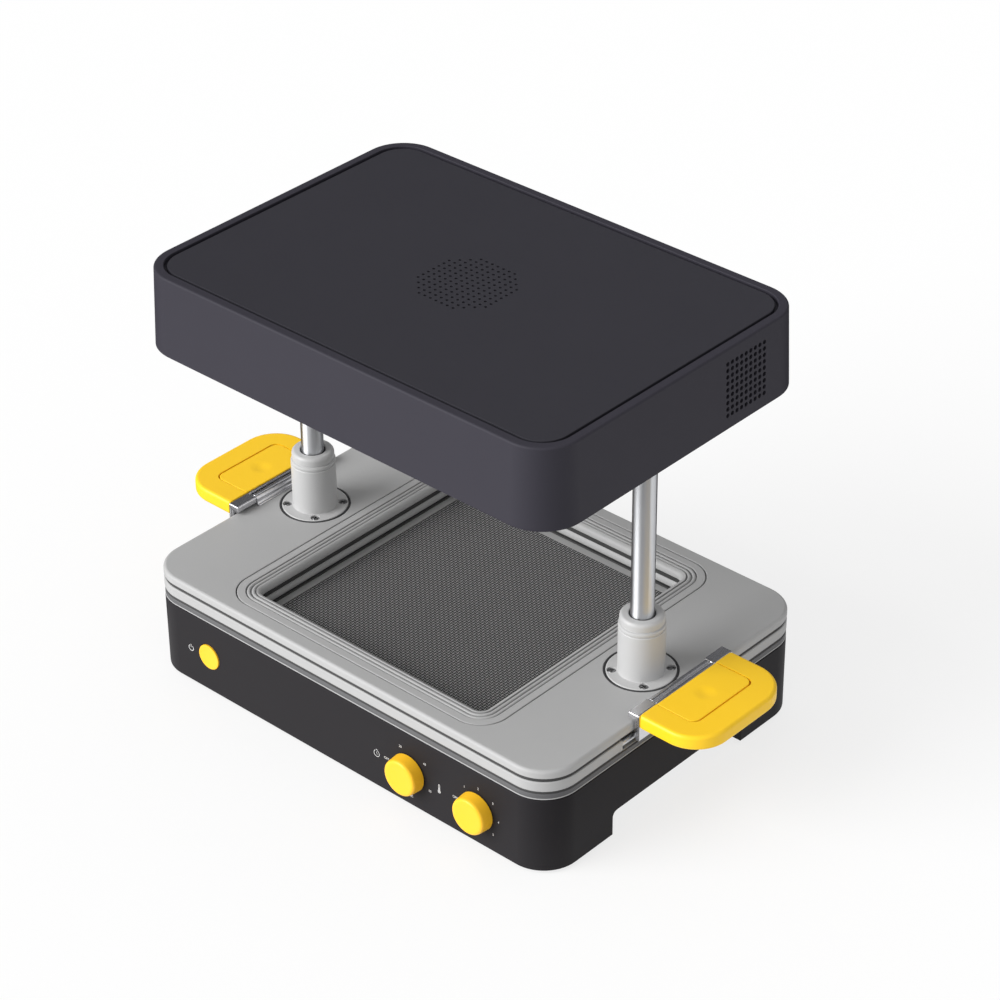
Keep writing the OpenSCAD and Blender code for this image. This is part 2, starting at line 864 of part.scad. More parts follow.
module heater_underplate() {
    inset = head_wall + 2 * fit - head_flare;
    low = head_z + under_lift;
    color([0.33, 0.33, 0.34])
    difference() {
        translate([0, 0, low]) linear_extrude(under_t) head_outline(inset);
        slab(heat_w, heat_w, form_r, low - cut, low + under_t + cut);
        at_columns()
            translate([0, 0, low - cut]) cylinder(r = well_r, h = under_t + 2 * cut);
        for (share = boss_x_shares, sy = [-1, 1])
            translate([share * head_w, sy * boss_y, low - cut])
                cylinder(r = screw_r + fit, h = under_t + 2 * cut);
    }
}

module collar_wells() {
    low = head_z + under_lift + under_t;
    color([0.4, 0.4, 0.41])
    at_columns()
        translate([0, 0, low])
            difference() {
                cylinder(r = well_r + well_wall, h = well_top + well_wall - low);
                translate([0, 0, -cut]) cylinder(r = well_r, h = well_top - low + cut);
                cylinder(r = column_r + fit, h = well_top + well_wall - low + cut);
            }
}

module heat_reflector() {
    color([0.85, 0.85, 0.84])
    translate([-reflector_w / 2, -reflector_d / 2, reflector_z])
        difference() {
            cube([reflector_w, reflector_d, reflector_h]);
            translate([reflector_t, reflector_t, -cut])
                cube([reflector_w - 2 * reflector_t, reflector_d - 2 * reflector_t,
                    reflector_h - reflector_t + cut]);
            translate([reflector_w / 2 + tube_l / 4, reflector_d / 2 + tube_pitch / 2, 0])
                cylinder(r = sensor_r + run_fit, h = reflector_h + cut);
        }
}

module heat_insulation() {
    low = reflector_z + reflector_h;
    color([0.87, 0.84, 0.76])
    difference() {
        translate([-reflector_w / 2, -reflector_d / 2, low]) cube([reflector_w, reflector_d, insulation_t]);
        translate([tube_l / 4, tube_pitch / 2, low - cut])
            cylinder(r = sensor_r + fit, h = insulation_t + 2 * cut);
    }
}

module heater_tubes() {
    color([0.9, 0.88, 0.85])
    for (i = [0:tube_n - 1])
        translate([0, (i - (tube_n - 1) / 2) * tube_pitch, tube_z])
            bar_x(tube_r, -tube_l / 2, tube_l / 2);
}

module tube_holders() {
    holder_x = tube_l / 2 - 2 * holder_t;
    top = reflector_z + reflector_h - reflector_t;
    color([0.75, 0.74, 0.7])
    for (side = [-1, 1])
        difference() {
            translate([side * holder_x - holder_t / 2, -holder_w / 2, top - holder_h])
                cube([holder_t, holder_w, holder_h]);
            for (i = [0:tube_n - 1])
                translate([side * holder_x, (i - (tube_n - 1) / 2) * tube_pitch, tube_z])
                    bar_x(tube_r + run_fit, -holder_t, holder_t);
        }
}

// Rods across the opening, seated on the underplate
module heater_guard() {
    pitch = heat_w / (guard_rods + 1);
    color([0.7, 0.7, 0.7])
    for (i = [1:guard_rods])
        translate([i * pitch - heat_w / 2, 0, reflector_z + guard_rod_r])
            bar_y(guard_rod_r, -guard_w / 2, guard_w / 2);
}

module overheat_sensor() {
    top = reflector_z + reflector_h + insulation_t;
    color([0.75, 0.75, 0.76])
    translate([tube_l / 4, tube_pitch / 2, 0]) {
        translate([0, 0, top - sensor_l]) cylinder(r = sensor_r, h = sensor_l);
        translate([0, 0, top]) cylinder(r = 2 * sensor_r, h = sensor_r);
    }
}

module head_screws() {
    color([0.25, 0.25, 0.26])
    for (share = boss_x_shares, sy = [-1, 1])
        translate([share * head_w, sy * boss_y, 0])
            screw_up(screw_r, screw_head_r, screw_head_h / 2, head_z + under_lift, boss_h);
}

// Sheet frame, lower half

module lower_frame() {
    color([0.68, 0.69, 0.69])
    difference() {
        slab(body_w, body_d, body_r, lower_z, lower_top);
        slab(form_w, form_w, form_r, lower_z - cut, lower_top + cut);
        at_columns() {
            translate([0, 0, lower_z - cut]) cylinder(r = bush_r + run_fit, h = lower_t + 2 * cut);
            translate([0, 0, lower_top - bush_rim_t])
                cylinder(r = bush_r + bush_rim + run_fit, h = bush_rim_t + cut);
        }
        for (side = [-1, 1])
            on_side(side)
                notch_cut();
        for (side = [-1, 1])
            translate([side * keeper_x, 0, keeper_z])
                bar_y(keeper_r + run_fit, -notch_w / 2 - keeper_bite, notch_w / 2 + keeper_bite);
    }
}

// Notch with rounded inner corners in the right side of the lower frame
module notch_cut() {
    edge = body_w / 2;
    translate([0, 0, lower_z - cut])
        linear_extrude(lower_t + 2 * cut)
            union() {
                translate([edge - notch_d, -notch_w / 2 + arch_r])
                    square([notch_d + cut, notch_w - 2 * arch_r]);
                translate([edge - notch_d + arch_r, -notch_w / 2])
                    square([notch_d - arch_r + cut, notch_w]);
                for (sy = [-1, 1])
                    translate([edge - notch_d + arch_r, sy * (notch_w / 2 - arch_r)]) circle(arch_r);
            }
}

module lower_seal() {
    color([0.07, 0.07, 0.07])
    ring(form_w + 2 * seal_w, form_r + seal_w, form_w, form_r, lower_top, (lower_top + upper_z - slip) / 2);
}

module lower_bushes() {
    color([0.85, 0.84, 0.8])
    at_columns()
        difference() {
            union() {
                translate([0, 0, lower_z]) cylinder(r = bush_r, h = lower_t);
                translate([0, 0, lower_top - bush_rim_t]) cylinder(r = bush_r + bush_rim, h = bush_rim_t);
            }
            translate([0, 0, lower_z - cut]) cylinder(r = column_r + run_fit, h = lower_t + 2 * cut);
        }
}

module keeper_bars() {
    end = notch_w / 2 + keeper_bite - run_fit;
    color([0.75, 0.75, 0.76])
    for (side = [-1, 1])
        translate([side * keeper_x, 0, keeper_z])
            bar_y(keeper_r, -end, end);
}

// Sheet frame, upper half

module upper_frame() {
    opening = insert_w + 2 * seam;
    inner = opening - 2 * insert_ledge;
    seat = upper_top - flange_sink - flange_t;
    color([0.68, 0.69, 0.69])
    difference() {
        slab(body_w, body_d, body_r, upper_z, upper_top);
        slab(opening, opening, insert_r + seam, upper_top - insert_lip_t, upper_top + cut);
        slab(inner, inner, insert_r - insert_ledge, upper_z - cut, upper_top);
        at_columns() {
            translate([0, 0, seat]) cylinder(r = flange_d / 2 + flange_gap, h = upper_top - seat + cut);
            translate([0, 0, upper_z - cut]) cylinder(r = spigot_r + fit, h = upper_t + 2 * cut);
            at_corners(screw_circle_r / sqrt(2), screw_circle_r / sqrt(2))
                translate([0, 0, upper_z - cut])
                    cylinder(r = flange_screw_r + run_fit, h = upper_t + 2 * cut);
        }
    }
}

module upper_seal() {
    color([0.07, 0.07, 0.07])
    ring(form_w + 2 * seal_w, form_r + seal_w, form_w, form_r, (lower_top + upper_z + slip) / 2, upper_z);
}

// Square ring with raised ridges, resting on the ledge of the upper frame
module ring_insert() {
    neck = insert_w + 2 * seam - 2 * insert_ledge - 2 * fit;
    color([0.72, 0.73, 0.73])
    difference() {
        union() {
            slab(insert_w, insert_w, insert_r, upper_top - insert_lip_t, upper_top - ridge_h);
            slab(neck, neck, insert_r - insert_ledge, upper_z, upper_top - ridge_h);
            for (ridge = ridge_shares)
                ring(insert_w - 2 * ridge[0] * insert_band, ridge_corner(ridge[0]),
                    insert_w - 2 * ridge[1] * insert_band, ridge_corner(ridge[1]),
                    upper_top - ridge_h - fit, upper_top);
        }
        slab(form_w, form_w, form_r, upper_z - cut, upper_top + cut);
    }
}

// Corner radius of a ridge, between the insert's and the opening's
function ridge_corner(share) = insert_r + share * (form_r - insert_r);

// Collar: flange, body, bead and rounded lip turned about the column axis
module collar(side) {
    r = collar_d / 2;
    top = collar_h;
    low = -flange_sink - flange_t;
    bead = top - collar_lip_h - collar_bead_h;
    lip = top - collar_lip_h;
    lip_r = r - collar_step;
    spigot = upper_z - upper_top;
    color([0.74, 0.75, 0.75])
    translate([side * column_x, 0, upper_top])
        difference() {
            rotate_extrude()
                polygon([
                    [collar_bush_r + run_fit, spigot],
                    [spigot_r, spigot],
                    [spigot_r, low],
                    [flange_d / 2, low],
                    [flange_d / 2, -flange_sink],
                    [r, -flange_sink],
                    [r, bead],
                    [r - collar_groove, bead],
                    for (a = [-60:30:60])
                        [r - collar_groove + collar_groove * cos(a),
                            bead + collar_bead_h / 2 + collar_bead_h / 2 * sin(a)],
                    [lip_r - collar_groove, lip],
                    [lip_r, lip + collar_groove],
                    for (a = [0:15:90])
                        [lip_r - collar_round + collar_round * cos(a),
                            top - collar_round + collar_round * sin(a)],
                    [collar_bore_r, top],
                    [collar_bore_r, spigot + collar_bush_l + fit],
                    [collar_bush_r + run_fit, spigot + collar_bush_l + fit]
                ]);
            at_corners(screw_circle_r / sqrt(2), screw_circle_r / sqrt(2)) {
                translate([0, 0, low - cut])
                    cylinder(r = flange_screw_r + run_fit, h = flange_t + 2 * cut);
                translate([0, 0, -flange_sink - flange_screw_head_h])
                    cylinder(r = flange_screw_head_r + fit, h = flange_screw_head_h + cut);
            }
        }
}

module collar_bushes() {
    color([0.85, 0.84, 0.8])
    at_columns()
        translate([0, 0, upper_z])
            difference() {
                cylinder(r = collar_bush_r, h = collar_bush_l);
                translate([0, 0, -cut]) cylinder(r = column_r + run_fit, h = collar_bush_l + 2 * cut);
            }
}

module collar_screws() {
    seat = upper_top - flange_sink - flange_screw_head_h;
    color([0.5, 0.5, 0.51])
    at_columns()
        at_corners(screw_circle_r / sqrt(2), screw_circle_r / sqrt(2))
            screw_down(flange_screw_r, flange_screw_head_r, flange_screw_head_h, seat, seat - upper_z);
}

// Fixed hinge leaf on the edge of the upper frame, with its barrel
module hinge_leaf(side) {
    color([0.78, 0.78, 0.8])
    on_side(side)
        difference() {
            union() {
                translate([barrel_x - leaf_foot - barrel_r, -leaf_w / 2, upper_top])
                    cube([leaf_foot + barrel_r, leaf_w, leaf_t]);
                translate([barrel_x, 0, barrel_z]) bar_y(barrel_r, -leaf_w / 2, leaf_w / 2);
            }
            translate([barrel_x, 0, barrel_z])
                bar_y(hinge_pin_r + run_fit, -leaf_w / 2 - cut, leaf_w / 2 + cut);
        }
}

module hinge_pins() {
    color([0.7, 0.7, 0.71])
    for (side = [-1, 1])
        translate([side * barrel_x, 0, barrel_z])
            bar_y(hinge_pin_r, -knuckle_w / 2, knuckle_w / 2);
}

// Handles

// Bent bracket: two flat-topped knuckles on the hinge pin, a long leg down the side and a cheek at each end
module handle_bracket(side) {
    knuckle = (knuckle_w - leaf_w) / 2 - slip;
    color([0.8, 0.8, 0.82])
    on_side(side)
        difference() {
            union() {
                translate([leg_x, -knuckle_w / 2, leg_low])
                    cube([leg_t, knuckle_w, barrel_z + barrel_r - leg_low]);
                for (sy = [-1, 1])
                    translate([0, sy * (knuckle_w / 2 - knuckle / 2), 0]) {
                        translate([barrel_x, 0, barrel_z]) bar_y(barrel_r, -knuckle / 2, knuckle / 2);
                        translate([barrel_x - barrel_r, -knuckle / 2, barrel_z])
                            cube([leg_x + leg_t - barrel_x + barrel_r, knuckle, barrel_r]);
                        translate([leg_x - cheek_in, sy * (knuckle - cheek_t) / 2 - cheek_t / 2, leg_low])
                            cube([cheek_in + leg_t, cheek_t, barrel_z - leg_low]);
                    }
            }
            translate([barrel_x, 0, barrel_z])
                bar_y(hinge_pin_r + hinge_fit, -knuckle_w / 2 - cut, knuckle_w / 2 + cut);
            for (sy = [-1, 1])
                translate([0, sy * grip_screw_y, grip_screw_z]) {
                    bar_x(grip_screw_r + run_fit, leg_x - cut, grip_x + cut);
                    bar_x(grip_screw_head_r + fit, leg_x - cut, leg_x + grip_screw_head_h);
                }
        }
}

// Outline of a grip: straight at the bracket, round at the outer corners
module grip_outline(inset) {
    w = grip_w - 2 * inset;
    r = grip_r - inset;
    intersection() {
        translate([0, -w / 2]) square([grip_reach, w]);
        union() {
            translate([-inset, -w / 2 + r]) square([grip_reach, w - 2 * r]);
            translate([-r, -w / 2]) square([grip_reach - inset, w]);
            for (sy = [-1, 1])
                translate([grip_reach - inset - r, sy * (w / 2 - r)]) circle(r, $fn = 48);
        }
    }
}

module grip(side) {
    color([0.98, 0.8, 0.15])
    on_side(side)
        difference() {
            hull() {
                translate([grip_x, 0, grip_top - grip_t]) linear_extrude(grip_t) grip_outline(grip_edge);
                translate([grip_x, 0, grip_top - grip_t + grip_edge / 3])
                    linear_extrude(grip_t - 2 * grip_edge / 3) grip_outline(grip_edge / 3);
                translate([grip_x, 0, grip_top - grip_t + grip_edge])
                    linear_extrude(grip_t - 2 * grip_edge) grip_outline(0);
            }
            translate([grip_x, 0, grip_top - pad_t])
                linear_extrude(pad_t + cut)
                    pad_outline(pad_gap);
            for (sy = [-1, 1])
                translate([0, sy * grip_screw_y, grip_screw_z])
                    bar_x(grip_screw_r + run_fit, grip_x - cut, grip_x + grip_screw_l);
        }
}

// Outline of the inset pad, grown by grow
module pad_outline(grow) {
    w = pad_w + 2 * grow;
    r = pad_round + grow;
    long = pad_reach + grow;
    translate([-grow, -w / 2]) square([long - r + grow, w]);
    translate([-grow, -w / 2 + r]) square([long + grow, w - 2 * r]);
    for (sy = [-1, 1])
        translate([long - r, sy * (w / 2 - r)]) circle(r);
}

// Screws that run from the bracket into the grip, their heads sunk in the leg
module grip_screws(side) {
    color([0.5, 0.5, 0.51])
    on_side(side)
        for (sy = [-1, 1])
            translate([0, sy * grip_screw_y, grip_screw_z]) {
                bar_x(grip_screw_r, leg_x, grip_x + grip_screw_l - cut);
                bar_x(grip_screw_head_r, leg_x, leg_x + grip_screw_head_h);
            }
}

module grip_pad(side) {
    color([0.98, 0.8, 0.15])
    on_side(side)
        translate([grip_x + run_fit, 0, grip_top - pad_t])
            linear_extrude(pad_t)
                pad_outline(0);
}

base_shell();
base_plate();
rubber_feet();
base_screws();
base_deck();
forming_bed();
bed_gasket();
vacuum_chamber();
chamber_ribs();
vacuum_pipe();
inlet_body();
inlet_pins();
control_board();
board_screws();
dial_encoders();
power_switch();
column(-1);  // column_left
column(1);  // column_right
column_sockets();
column_top_clamps();
column_bolts();
heater_housing();
heater_top_panel();
heater_underplate();
collar_wells();
heat_reflector();
heat_insulation();
heater_tubes();
tube_holders();
heater_guard();
overheat_sensor();
head_screws();
lower_frame();
lower_seal();
lower_bushes();
keeper_bars();
upper_frame();
upper_seal();
ring_insert();
collar(-1);  // collar_left
collar(1);  // collar_right
collar_bushes();
collar_screws();
hinge_leaf(-1);  // hinge_leaf_left
hinge_leaf(1);  // hinge_leaf_right
hinge_pins();
handle_bracket(-1);  // handle_bracket_left
handle_bracket(1);  // handle_bracket_right
grip(-1);  // grip_left
grip(1);  // grip_right
grip_pad(-1);  // grip_pad_left
grip_pad(1);  // grip_pad_right
grip_screws(-1);  // grip_screws_left
grip_screws(1);  // grip_screws_right
knob(timer_x);  // timer_knob
knob_shaft(timer_x);  // timer_shaft
knob(temperature_x);  // temperature_knob
knob_shaft(temperature_x);  // temperature_shaft
power_button();
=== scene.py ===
import json

import bpy
import numpy as np
from mathutils import Matrix, Vector


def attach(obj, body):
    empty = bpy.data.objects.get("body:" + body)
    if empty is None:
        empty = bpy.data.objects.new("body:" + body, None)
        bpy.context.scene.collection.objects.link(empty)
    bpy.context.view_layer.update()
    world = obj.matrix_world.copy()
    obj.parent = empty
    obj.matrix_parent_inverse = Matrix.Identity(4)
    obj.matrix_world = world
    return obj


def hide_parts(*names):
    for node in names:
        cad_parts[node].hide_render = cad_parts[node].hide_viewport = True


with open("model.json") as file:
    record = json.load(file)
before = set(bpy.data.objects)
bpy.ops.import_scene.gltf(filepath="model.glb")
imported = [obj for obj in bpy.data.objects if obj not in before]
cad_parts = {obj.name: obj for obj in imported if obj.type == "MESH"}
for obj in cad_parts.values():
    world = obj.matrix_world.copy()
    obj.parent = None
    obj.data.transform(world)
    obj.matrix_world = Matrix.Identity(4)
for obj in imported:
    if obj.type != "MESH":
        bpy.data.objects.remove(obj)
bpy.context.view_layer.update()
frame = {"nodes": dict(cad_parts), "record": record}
nodes = frame["nodes"]
print("frame loaded:", len(nodes), "nodes")

mm = 0.001  # shapes below are worked out in millimetres
sides = (-1, 1)
corners = [(sx, sy) for sx in sides for sy in sides]
quarter = np.pi / 2
diagonal = 0.7071  # a step along x and y for one along their diagonal
leastRadius = 0.02  # a corner is never quite sharp, so that its points stay apart

# The plan that casing and sheet frame share, and the place of the columns
machine = {"halfX": 180, "halfY": 128, "radius": 26.5, "columnX": 147.25}

# A piece's own upright direction turned to face a side of the machine: columns are local x, y and z
facing = {
    "up": np.array([[1, 0, 0], [0, 1, 0], [0, 0, 1]]),
    "front": np.array([[1, 0, 0], [0, 0, -1], [0, 1, 0]]),
    "back": np.array([[-1, 0, 0], [0, 0, 1], [0, 1, 0]]),
    "right": np.array([[0, 0, 1], [1, 0, 0], [0, 1, 0]]),
}


# Each corner of a profile becomes a parabola between the points a cut away on both of its sides:
# point(s) = (1-s)^2 A + 2s(1-s) corner + s^2 B, with s from 0 to 1
def softened(points, cuts, steps=4):
    corner = np.asarray(points, float)
    cut = np.broadcast_to(np.asarray(cuts, float), len(corner))[:, None]
    before = np.roll(corner, 1, 0) - corner
    after = np.roll(corner, -1, 0) - corner
    a = corner + cut * before / np.linalg.norm(before, axis=1, keepdims=True)
    b = corner + cut * after / np.linalg.norm(after, axis=1, keepdims=True)
    s = np.linspace(0, 1, steps + 1)[None, :, None]
    curve = (1 - s) ** 2 * a[:, None] + 2 * s * (1 - s) * corner[:, None] + s**2 * b[:, None]
    return curve.reshape(-1, 2)


# Rounded rectangles stacked as rows: point = corner centre + radius * (cos a, sin a), and a turns a quarter
# at each of the four corners, so a row runs anticlockwise seen from above
def planGrid(lowX, highX, lowY, highY, radii, height, steps=10):
    height = np.atleast_1d(np.asarray(height, float))
    rows = len(height)
    ends = (lowX, highX, lowY, highY)
    lowX, highX, lowY, highY = (np.broadcast_to(np.asarray(end, float), rows) for end in ends)
    radii = np.maximum(np.broadcast_to(np.asarray(radii, float), (rows, 4)), leastRadius)
    angle = np.pi * np.array([1, 1.5, 0, 0.5])[:, None] + np.linspace(0, quarter, steps + 1)
    sideX = np.stack([lowX, highX, highX, lowX], 1) + radii * [1, -1, -1, 1]
    sideY = np.stack([lowY, lowY, highY, highY], 1) + radii * [1, 1, -1, -1]
    x = sideX[..., None] + radii[..., None] * np.cos(angle)
    y = sideY[..., None] + radii[..., None] * np.sin(angle)
    z = np.broadcast_to(height[:, None, None], x.shape)
    return np.stack([x, y, z], -1).reshape(rows, -1, 3)


# The same rows, centred, each moved inwards by the inset that its section gives
def insetGrid(halfX, halfY, radius, section, steps=10):
    inset, height = np.asarray(section, float).T
    corner = np.maximum(radius - inset, leastRadius)[:, None]
    return planGrid(inset - halfX, halfX - inset, inset - halfY, halfY - inset, corner, height, steps)


# A profile of (radius, height) turned about an upright axis: point = (radius cos a, radius sin a, height)
def turnGrid(profile, steps):
    radius, height = np.asarray(profile, float).T
    a = np.arange(steps) * 2 * np.pi / steps
    x = radius[:, None] * np.cos(a)
    y = radius[:, None] * np.sin(a)
    return np.stack([x, y, np.broadcast_to(height[:, None], x.shape)], -1)


# Rows joined by quads; a closed section joins last row to first, an open one gets a face at each end
def shell(grid, closed=False):
    rows, count = grid.shape[:2]
    index = np.arange(rows * count).reshape(rows, count)
    ring = np.vstack([index, index[:1]]) if closed else index
    low, high = ring[:-1], ring[1:]
    faces = np.stack([low, np.roll(low, -1, 1), np.roll(high, -1, 1), high], -1).reshape(-1, 4).tolist()
    if not closed:
        faces += [index[0][::-1].tolist(), index[-1].tolist()]
    return grid.reshape(-1, 3), faces


# Centred rectangles with their own half sizes, radii and heights, closed to a ring
def ringShape(halfX, halfY, radius, height, steps=14):
    return shell(planGrid(-halfX, halfX, -halfY, halfY, radius[:, None], height, steps), closed=True)


# Rows up the outside of a plate: over a quarter turn a, the inset goes from lowEdge (1 - sin a) to
# highEdge (1 - cos a), and the height rises by lowEdge (1 - cos a), then by highEdge sin a
def edgeRows(low, high, lowEdge, highEdge, steps):
    a = np.linspace(0, quarter, steps + 1)
    inset = np.r_[lowEdge * (1 - np.sin(a)), highEdge * (1 - np.cos(a))]
    height = np.r_[low + lowEdge * (1 - np.cos(a)), high - highEdge + highEdge * np.sin(a)]
    return inset, height


# A flat outline moved inwards: each point goes along the sum of its two edge normals, by the mitre length
def insetOutline(outline, distance):
    along = np.roll(outline, -1, 0) - outline
    along /= np.maximum(np.linalg.norm(along, axis=1, keepdims=True), 1e-9)
    normal = np.column_stack([along[:, 1], -along[:, 0]])
    other = np.roll(normal, 1, 0)
    share = 1 + (normal * other).sum(1, keepdims=True)
    return outline - distance * (normal + other) / np.maximum(share, 0.2)


# Flat rows laid at their heights
def stacked(rows, height):
    return shell(np.array([np.column_stack([row, np.full(len(row), z)]) for row, z in zip(rows, height)]))


# An outline raised from low to high, its edges rounded by rows that move in as a quarter circle
def prism(outline, low, high, edge=0.0):
    outline = np.asarray(outline, float)
    inset, height = edgeRows(low, high, edge, edge, 3) if edge else ((0, 0), (low, high))
    return stacked([insetOutline(outline, i) for i in inset], height)


# The same for a polygon, with each row's corners softened after it is moved in
def softPrism(corner, cuts, low, high, edge):
    corner, cuts = np.asarray(corner, float), np.asarray(cuts, float)
    inset, height = edgeRows(low, high, edge, edge, 5)
    rows = [softened(insetOutline(corner, i), np.maximum(cuts - i, 0.05), 5) for i in inset]
    return stacked(rows, height)


# Centre and facing applied to a shape made about the origin: point = centre + turn @ point
def placed(shape, centre=(0, 0, 0), side="up"):
    return shape[0] @ facing[side].T + np.asarray(centre, float), shape[1]


# The shape's other hand, x against -x, with its faces turned round again
def mirrored(shape):
    return shape[0] * [-1, 1, 1], [face[::-1] for face in shape[1]]


# Hinges and handles are drawn for the right side
hands = {"left": mirrored, "right": lambda shape: shape}


def joined(shapes):
    start = np.cumsum([0] + [len(points) for points, faces in shapes])
    faces = [[v + s for v in face] for (points, part), s in zip(shapes, start) for face in part]
    return np.concatenate([points for points, part in shapes]), faces


def turned(profile, centre=(0, 0, 0), side="up", steps=96, closed=False):
    return placed(shell(turnGrid(profile, steps), closed), centre, side)


# A bar is a turned profile of one radius, a block two rows of one rounded rectangle
def rod(radius, low, high, centre=(0, 0, 0), side="up", steps=32):
    return turned([(radius, low), (radius, high)], centre, side, steps)


def block(low, high, radius=leastRadius, steps=1):
    return shell(planGrid(low[0], high[0], low[1], high[1], radius, [low[2], high[2]], steps))


def addObject(name, data):
    made = bpy.data.objects.new(name, data)
    bpy.context.scene.collection.objects.link(made)
    return made


def addPiece(name, shape):
    mesh = bpy.data.meshes.new(name)
    mesh.from_pydata((shape[0] * mm).tolist(), [], shape[1])
    mesh.update()
    return addObject(name, mesh)


# An object's mesh once its modifiers, or its text, are worked out
def finalMesh(piece):
    return bpy.data.meshes.new_from_object(piece.evaluated_get(bpy.context.evaluated_depsgraph_get()))


# Takes the cutters' volume out of a piece and keeps the result as its mesh
def carve(piece, cutters):
    tool = addPiece("cutter", joined(cutters))
    modifier = piece.modifiers.new("carve", "BOOLEAN")
    modifier.operation, modifier.solver, modifier.object = "DIFFERENCE", "EXACT", tool
    mesh = finalMesh(piece)
    piece.modifiers.clear()
    piece.data = mesh
    bpy.data.objects.remove(tool)


# Smooth shading with sharp corners kept, then the piece's body, finish and the nodes it stands for
def settle(piece, body, slot, stands=(), sharp=32):
    mesh = piece.data
    mesh.shade_smooth()
    mesh.set_sharp_from_angle(angle=np.radians(sharp))
    weigh = piece.modifiers.new("weigh", "WEIGHTED_NORMAL")
    weigh.mode, weigh.keep_sharp = "FACE_AREA", True
    mesh.materials.clear()
    mesh.materials.append(finishes[slot])
    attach(piece, body)
    if stands:
        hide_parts(*stands)


# Finishes

# An output socket: sums, products and comparisons written on it add Math nodes
class Wire:
    def __init__(self, graph, socket):
        self.graph, self.socket = graph, socket

    def __add__(self, other):
        return self.graph.maths("ADD", self, other)

    def __radd__(self, other):
        return self.graph.maths("ADD", other, self)

    def __sub__(self, other):
        return self.graph.maths("SUBTRACT", self, other)

    def __rsub__(self, other):
        return self.graph.maths("SUBTRACT", other, self)

    def __mul__(self, other):
        return self.graph.maths("MULTIPLY", self, other)

    def __rmul__(self, other):
        return self.graph.maths("MULTIPLY", other, self)

    def __truediv__(self, other):
        return self.graph.maths("DIVIDE", self, other)

    def __rtruediv__(self, other):
        return self.graph.maths("DIVIDE", other, self)

    def __gt__(self, other):
        return self.graph.maths("GREATER_THAN", self, other)

    def __lt__(self, other):
        return self.graph.maths("LESS_THAN", self, other)


# The nodes of a material or of the sky; node() adds any node, its settings first and then its sockets
class Graph:
    def __init__(self, owner):
        owner.use_nodes = True
        self.tree = owner.node_tree
        self.tree.nodes.clear()

    def put(self, target, value):
        if isinstance(value, Wire):
            self.tree.links.new(value.socket, target)
        else:
            target.default_value = value

    def node(self, kind, settings, values):
        made = self.tree.nodes.new(kind)
        for key, value in settings.items():
            setattr(made, key, value)
        for key, value in values.items():
            self.put(made.inputs[key], value)
        return {socket.name: Wire(self, socket) for socket in made.outputs if socket.enabled}

    def maths(self, operation, *terms):
        return self.node("ShaderNodeMath", {"operation": operation}, dict(enumerate(terms)))["Value"]

    # Rays from the camera, and rays that come in gloss or through glass: each 0 or 1
    def rays(self):
        path = self.node("ShaderNodeLightPath", {}, {})
        bounced = self.maths("MAXIMUM", path["Is Glossy Ray"], path["Is Transmission Ray"])
        return path["Is Camera Ray"], bounced


# A material with one Principled shader
class Finish(Graph):
    def __init__(self, name, **uniform):
        self.material = bpy.data.materials.new(name)
        super().__init__(self.material)
        values = {socket.replace("_", " "): value for socket, value in uniform.items()}
        self.surface = self.node("ShaderNodeBsdfPrincipled", {}, values)["BSDF"]
        self.place = self.node("ShaderNodeTexCoord", {}, {})["Object"]

    def feed(self, socket, value):
        self.put(self.surface.socket.node.inputs[socket], value)

    def noise(self, scale, detail=2.0, stretch=None):
        place = self.place
        if stretch:
            place = self.node("ShaderNodeMapping", {}, {"Vector": place, "Scale": stretch})["Vector"]
        return self.node("ShaderNodeTexNoise", {}, {"Vector": place, "Scale": scale, "Detail": detail})["Fac"]

    def blend(self, share, first, second):
        values = {0: share, 6: first, 7: second}  # sockets 6 and 7 are the colours of a Mix node
        return self.node("ShaderNodeMix", {"data_type": "RGBA"}, values)["Result"]

    def bump(self, height, depth):
        values = {"Height": height, "Distance": depth * mm, "Strength": 1.0}
        self.feed("Normal", self.node("ShaderNodeBump", {}, values)["Normal"])

    def done(self, surface=None):
        self.node("ShaderNodeOutputMaterial", {}, {"Surface": surface or self.surface})
        return self.material


def rgba(colour, times=1.0):
    return tuple(min(1.0, c * times) for c in colour) + (1.0,)


# Broad noise shifts the colour a little, fine noise roughens the gloss and raises the grain
def grained(name, colour, rough, grain=0.5, depth=0.02, tone=0.06, spread=0.08, stretch=None, **uniform):
    finish = Finish(name, **uniform)
    broad = finish.noise(28.0, 3.0)
    fine = finish.noise(1000.0 / grain, stretch=stretch)
    share = broad * 0.6 + fine * 0.4
    finish.feed("Base Color", finish.blend(share, rgba(colour, 1 - tone), rgba(colour, 1 + tone)))
    finish.feed("Roughness", rough + (fine - 0.5) * spread)
    finish.bump(fine, depth)
    return finish.done()


# Wires over and under each other: each set of ridges is |sin|, and a checker says which set is on top
def woven(name, weave):
    finish = Finish(name, Metallic=weave["metal"])
    axes = finish.node("ShaderNodeSeparateXYZ", {}, {"Vector": finish.place})
    x, y = (axes[axis] / (weave["pitch"] * mm) for axis in "XY")
    ridgeX, ridgeY = (finish.maths("ABSOLUTE", finish.maths("SINE", v * np.pi)) for v in (x, y))
    turn = (finish.maths("FLOOR", x) + finish.maths("FLOOR", y)) * 0.5
    over = finish.maths("FRACT", turn) > 0.25
    height = over * ridgeX + (1 - over) * ridgeY
    top = finish.maths("POWER", height, weave["sharpness"])
    # Crests get the wire colour, flanks and gaps the painted shade; one set of wires is painted lighter, a
    # painted highlight
    wire = finish.blend(over, rgba(weave["across"]), rgba(weave["along"]))
    finish.feed("Base Color", finish.blend(top, rgba(weave["gap"]), wire))
    finish.feed("Roughness", weave["gapRough"] - top * weave["wireShine"])
    finish.bump(height, weave["depth"])
    return finish.done()


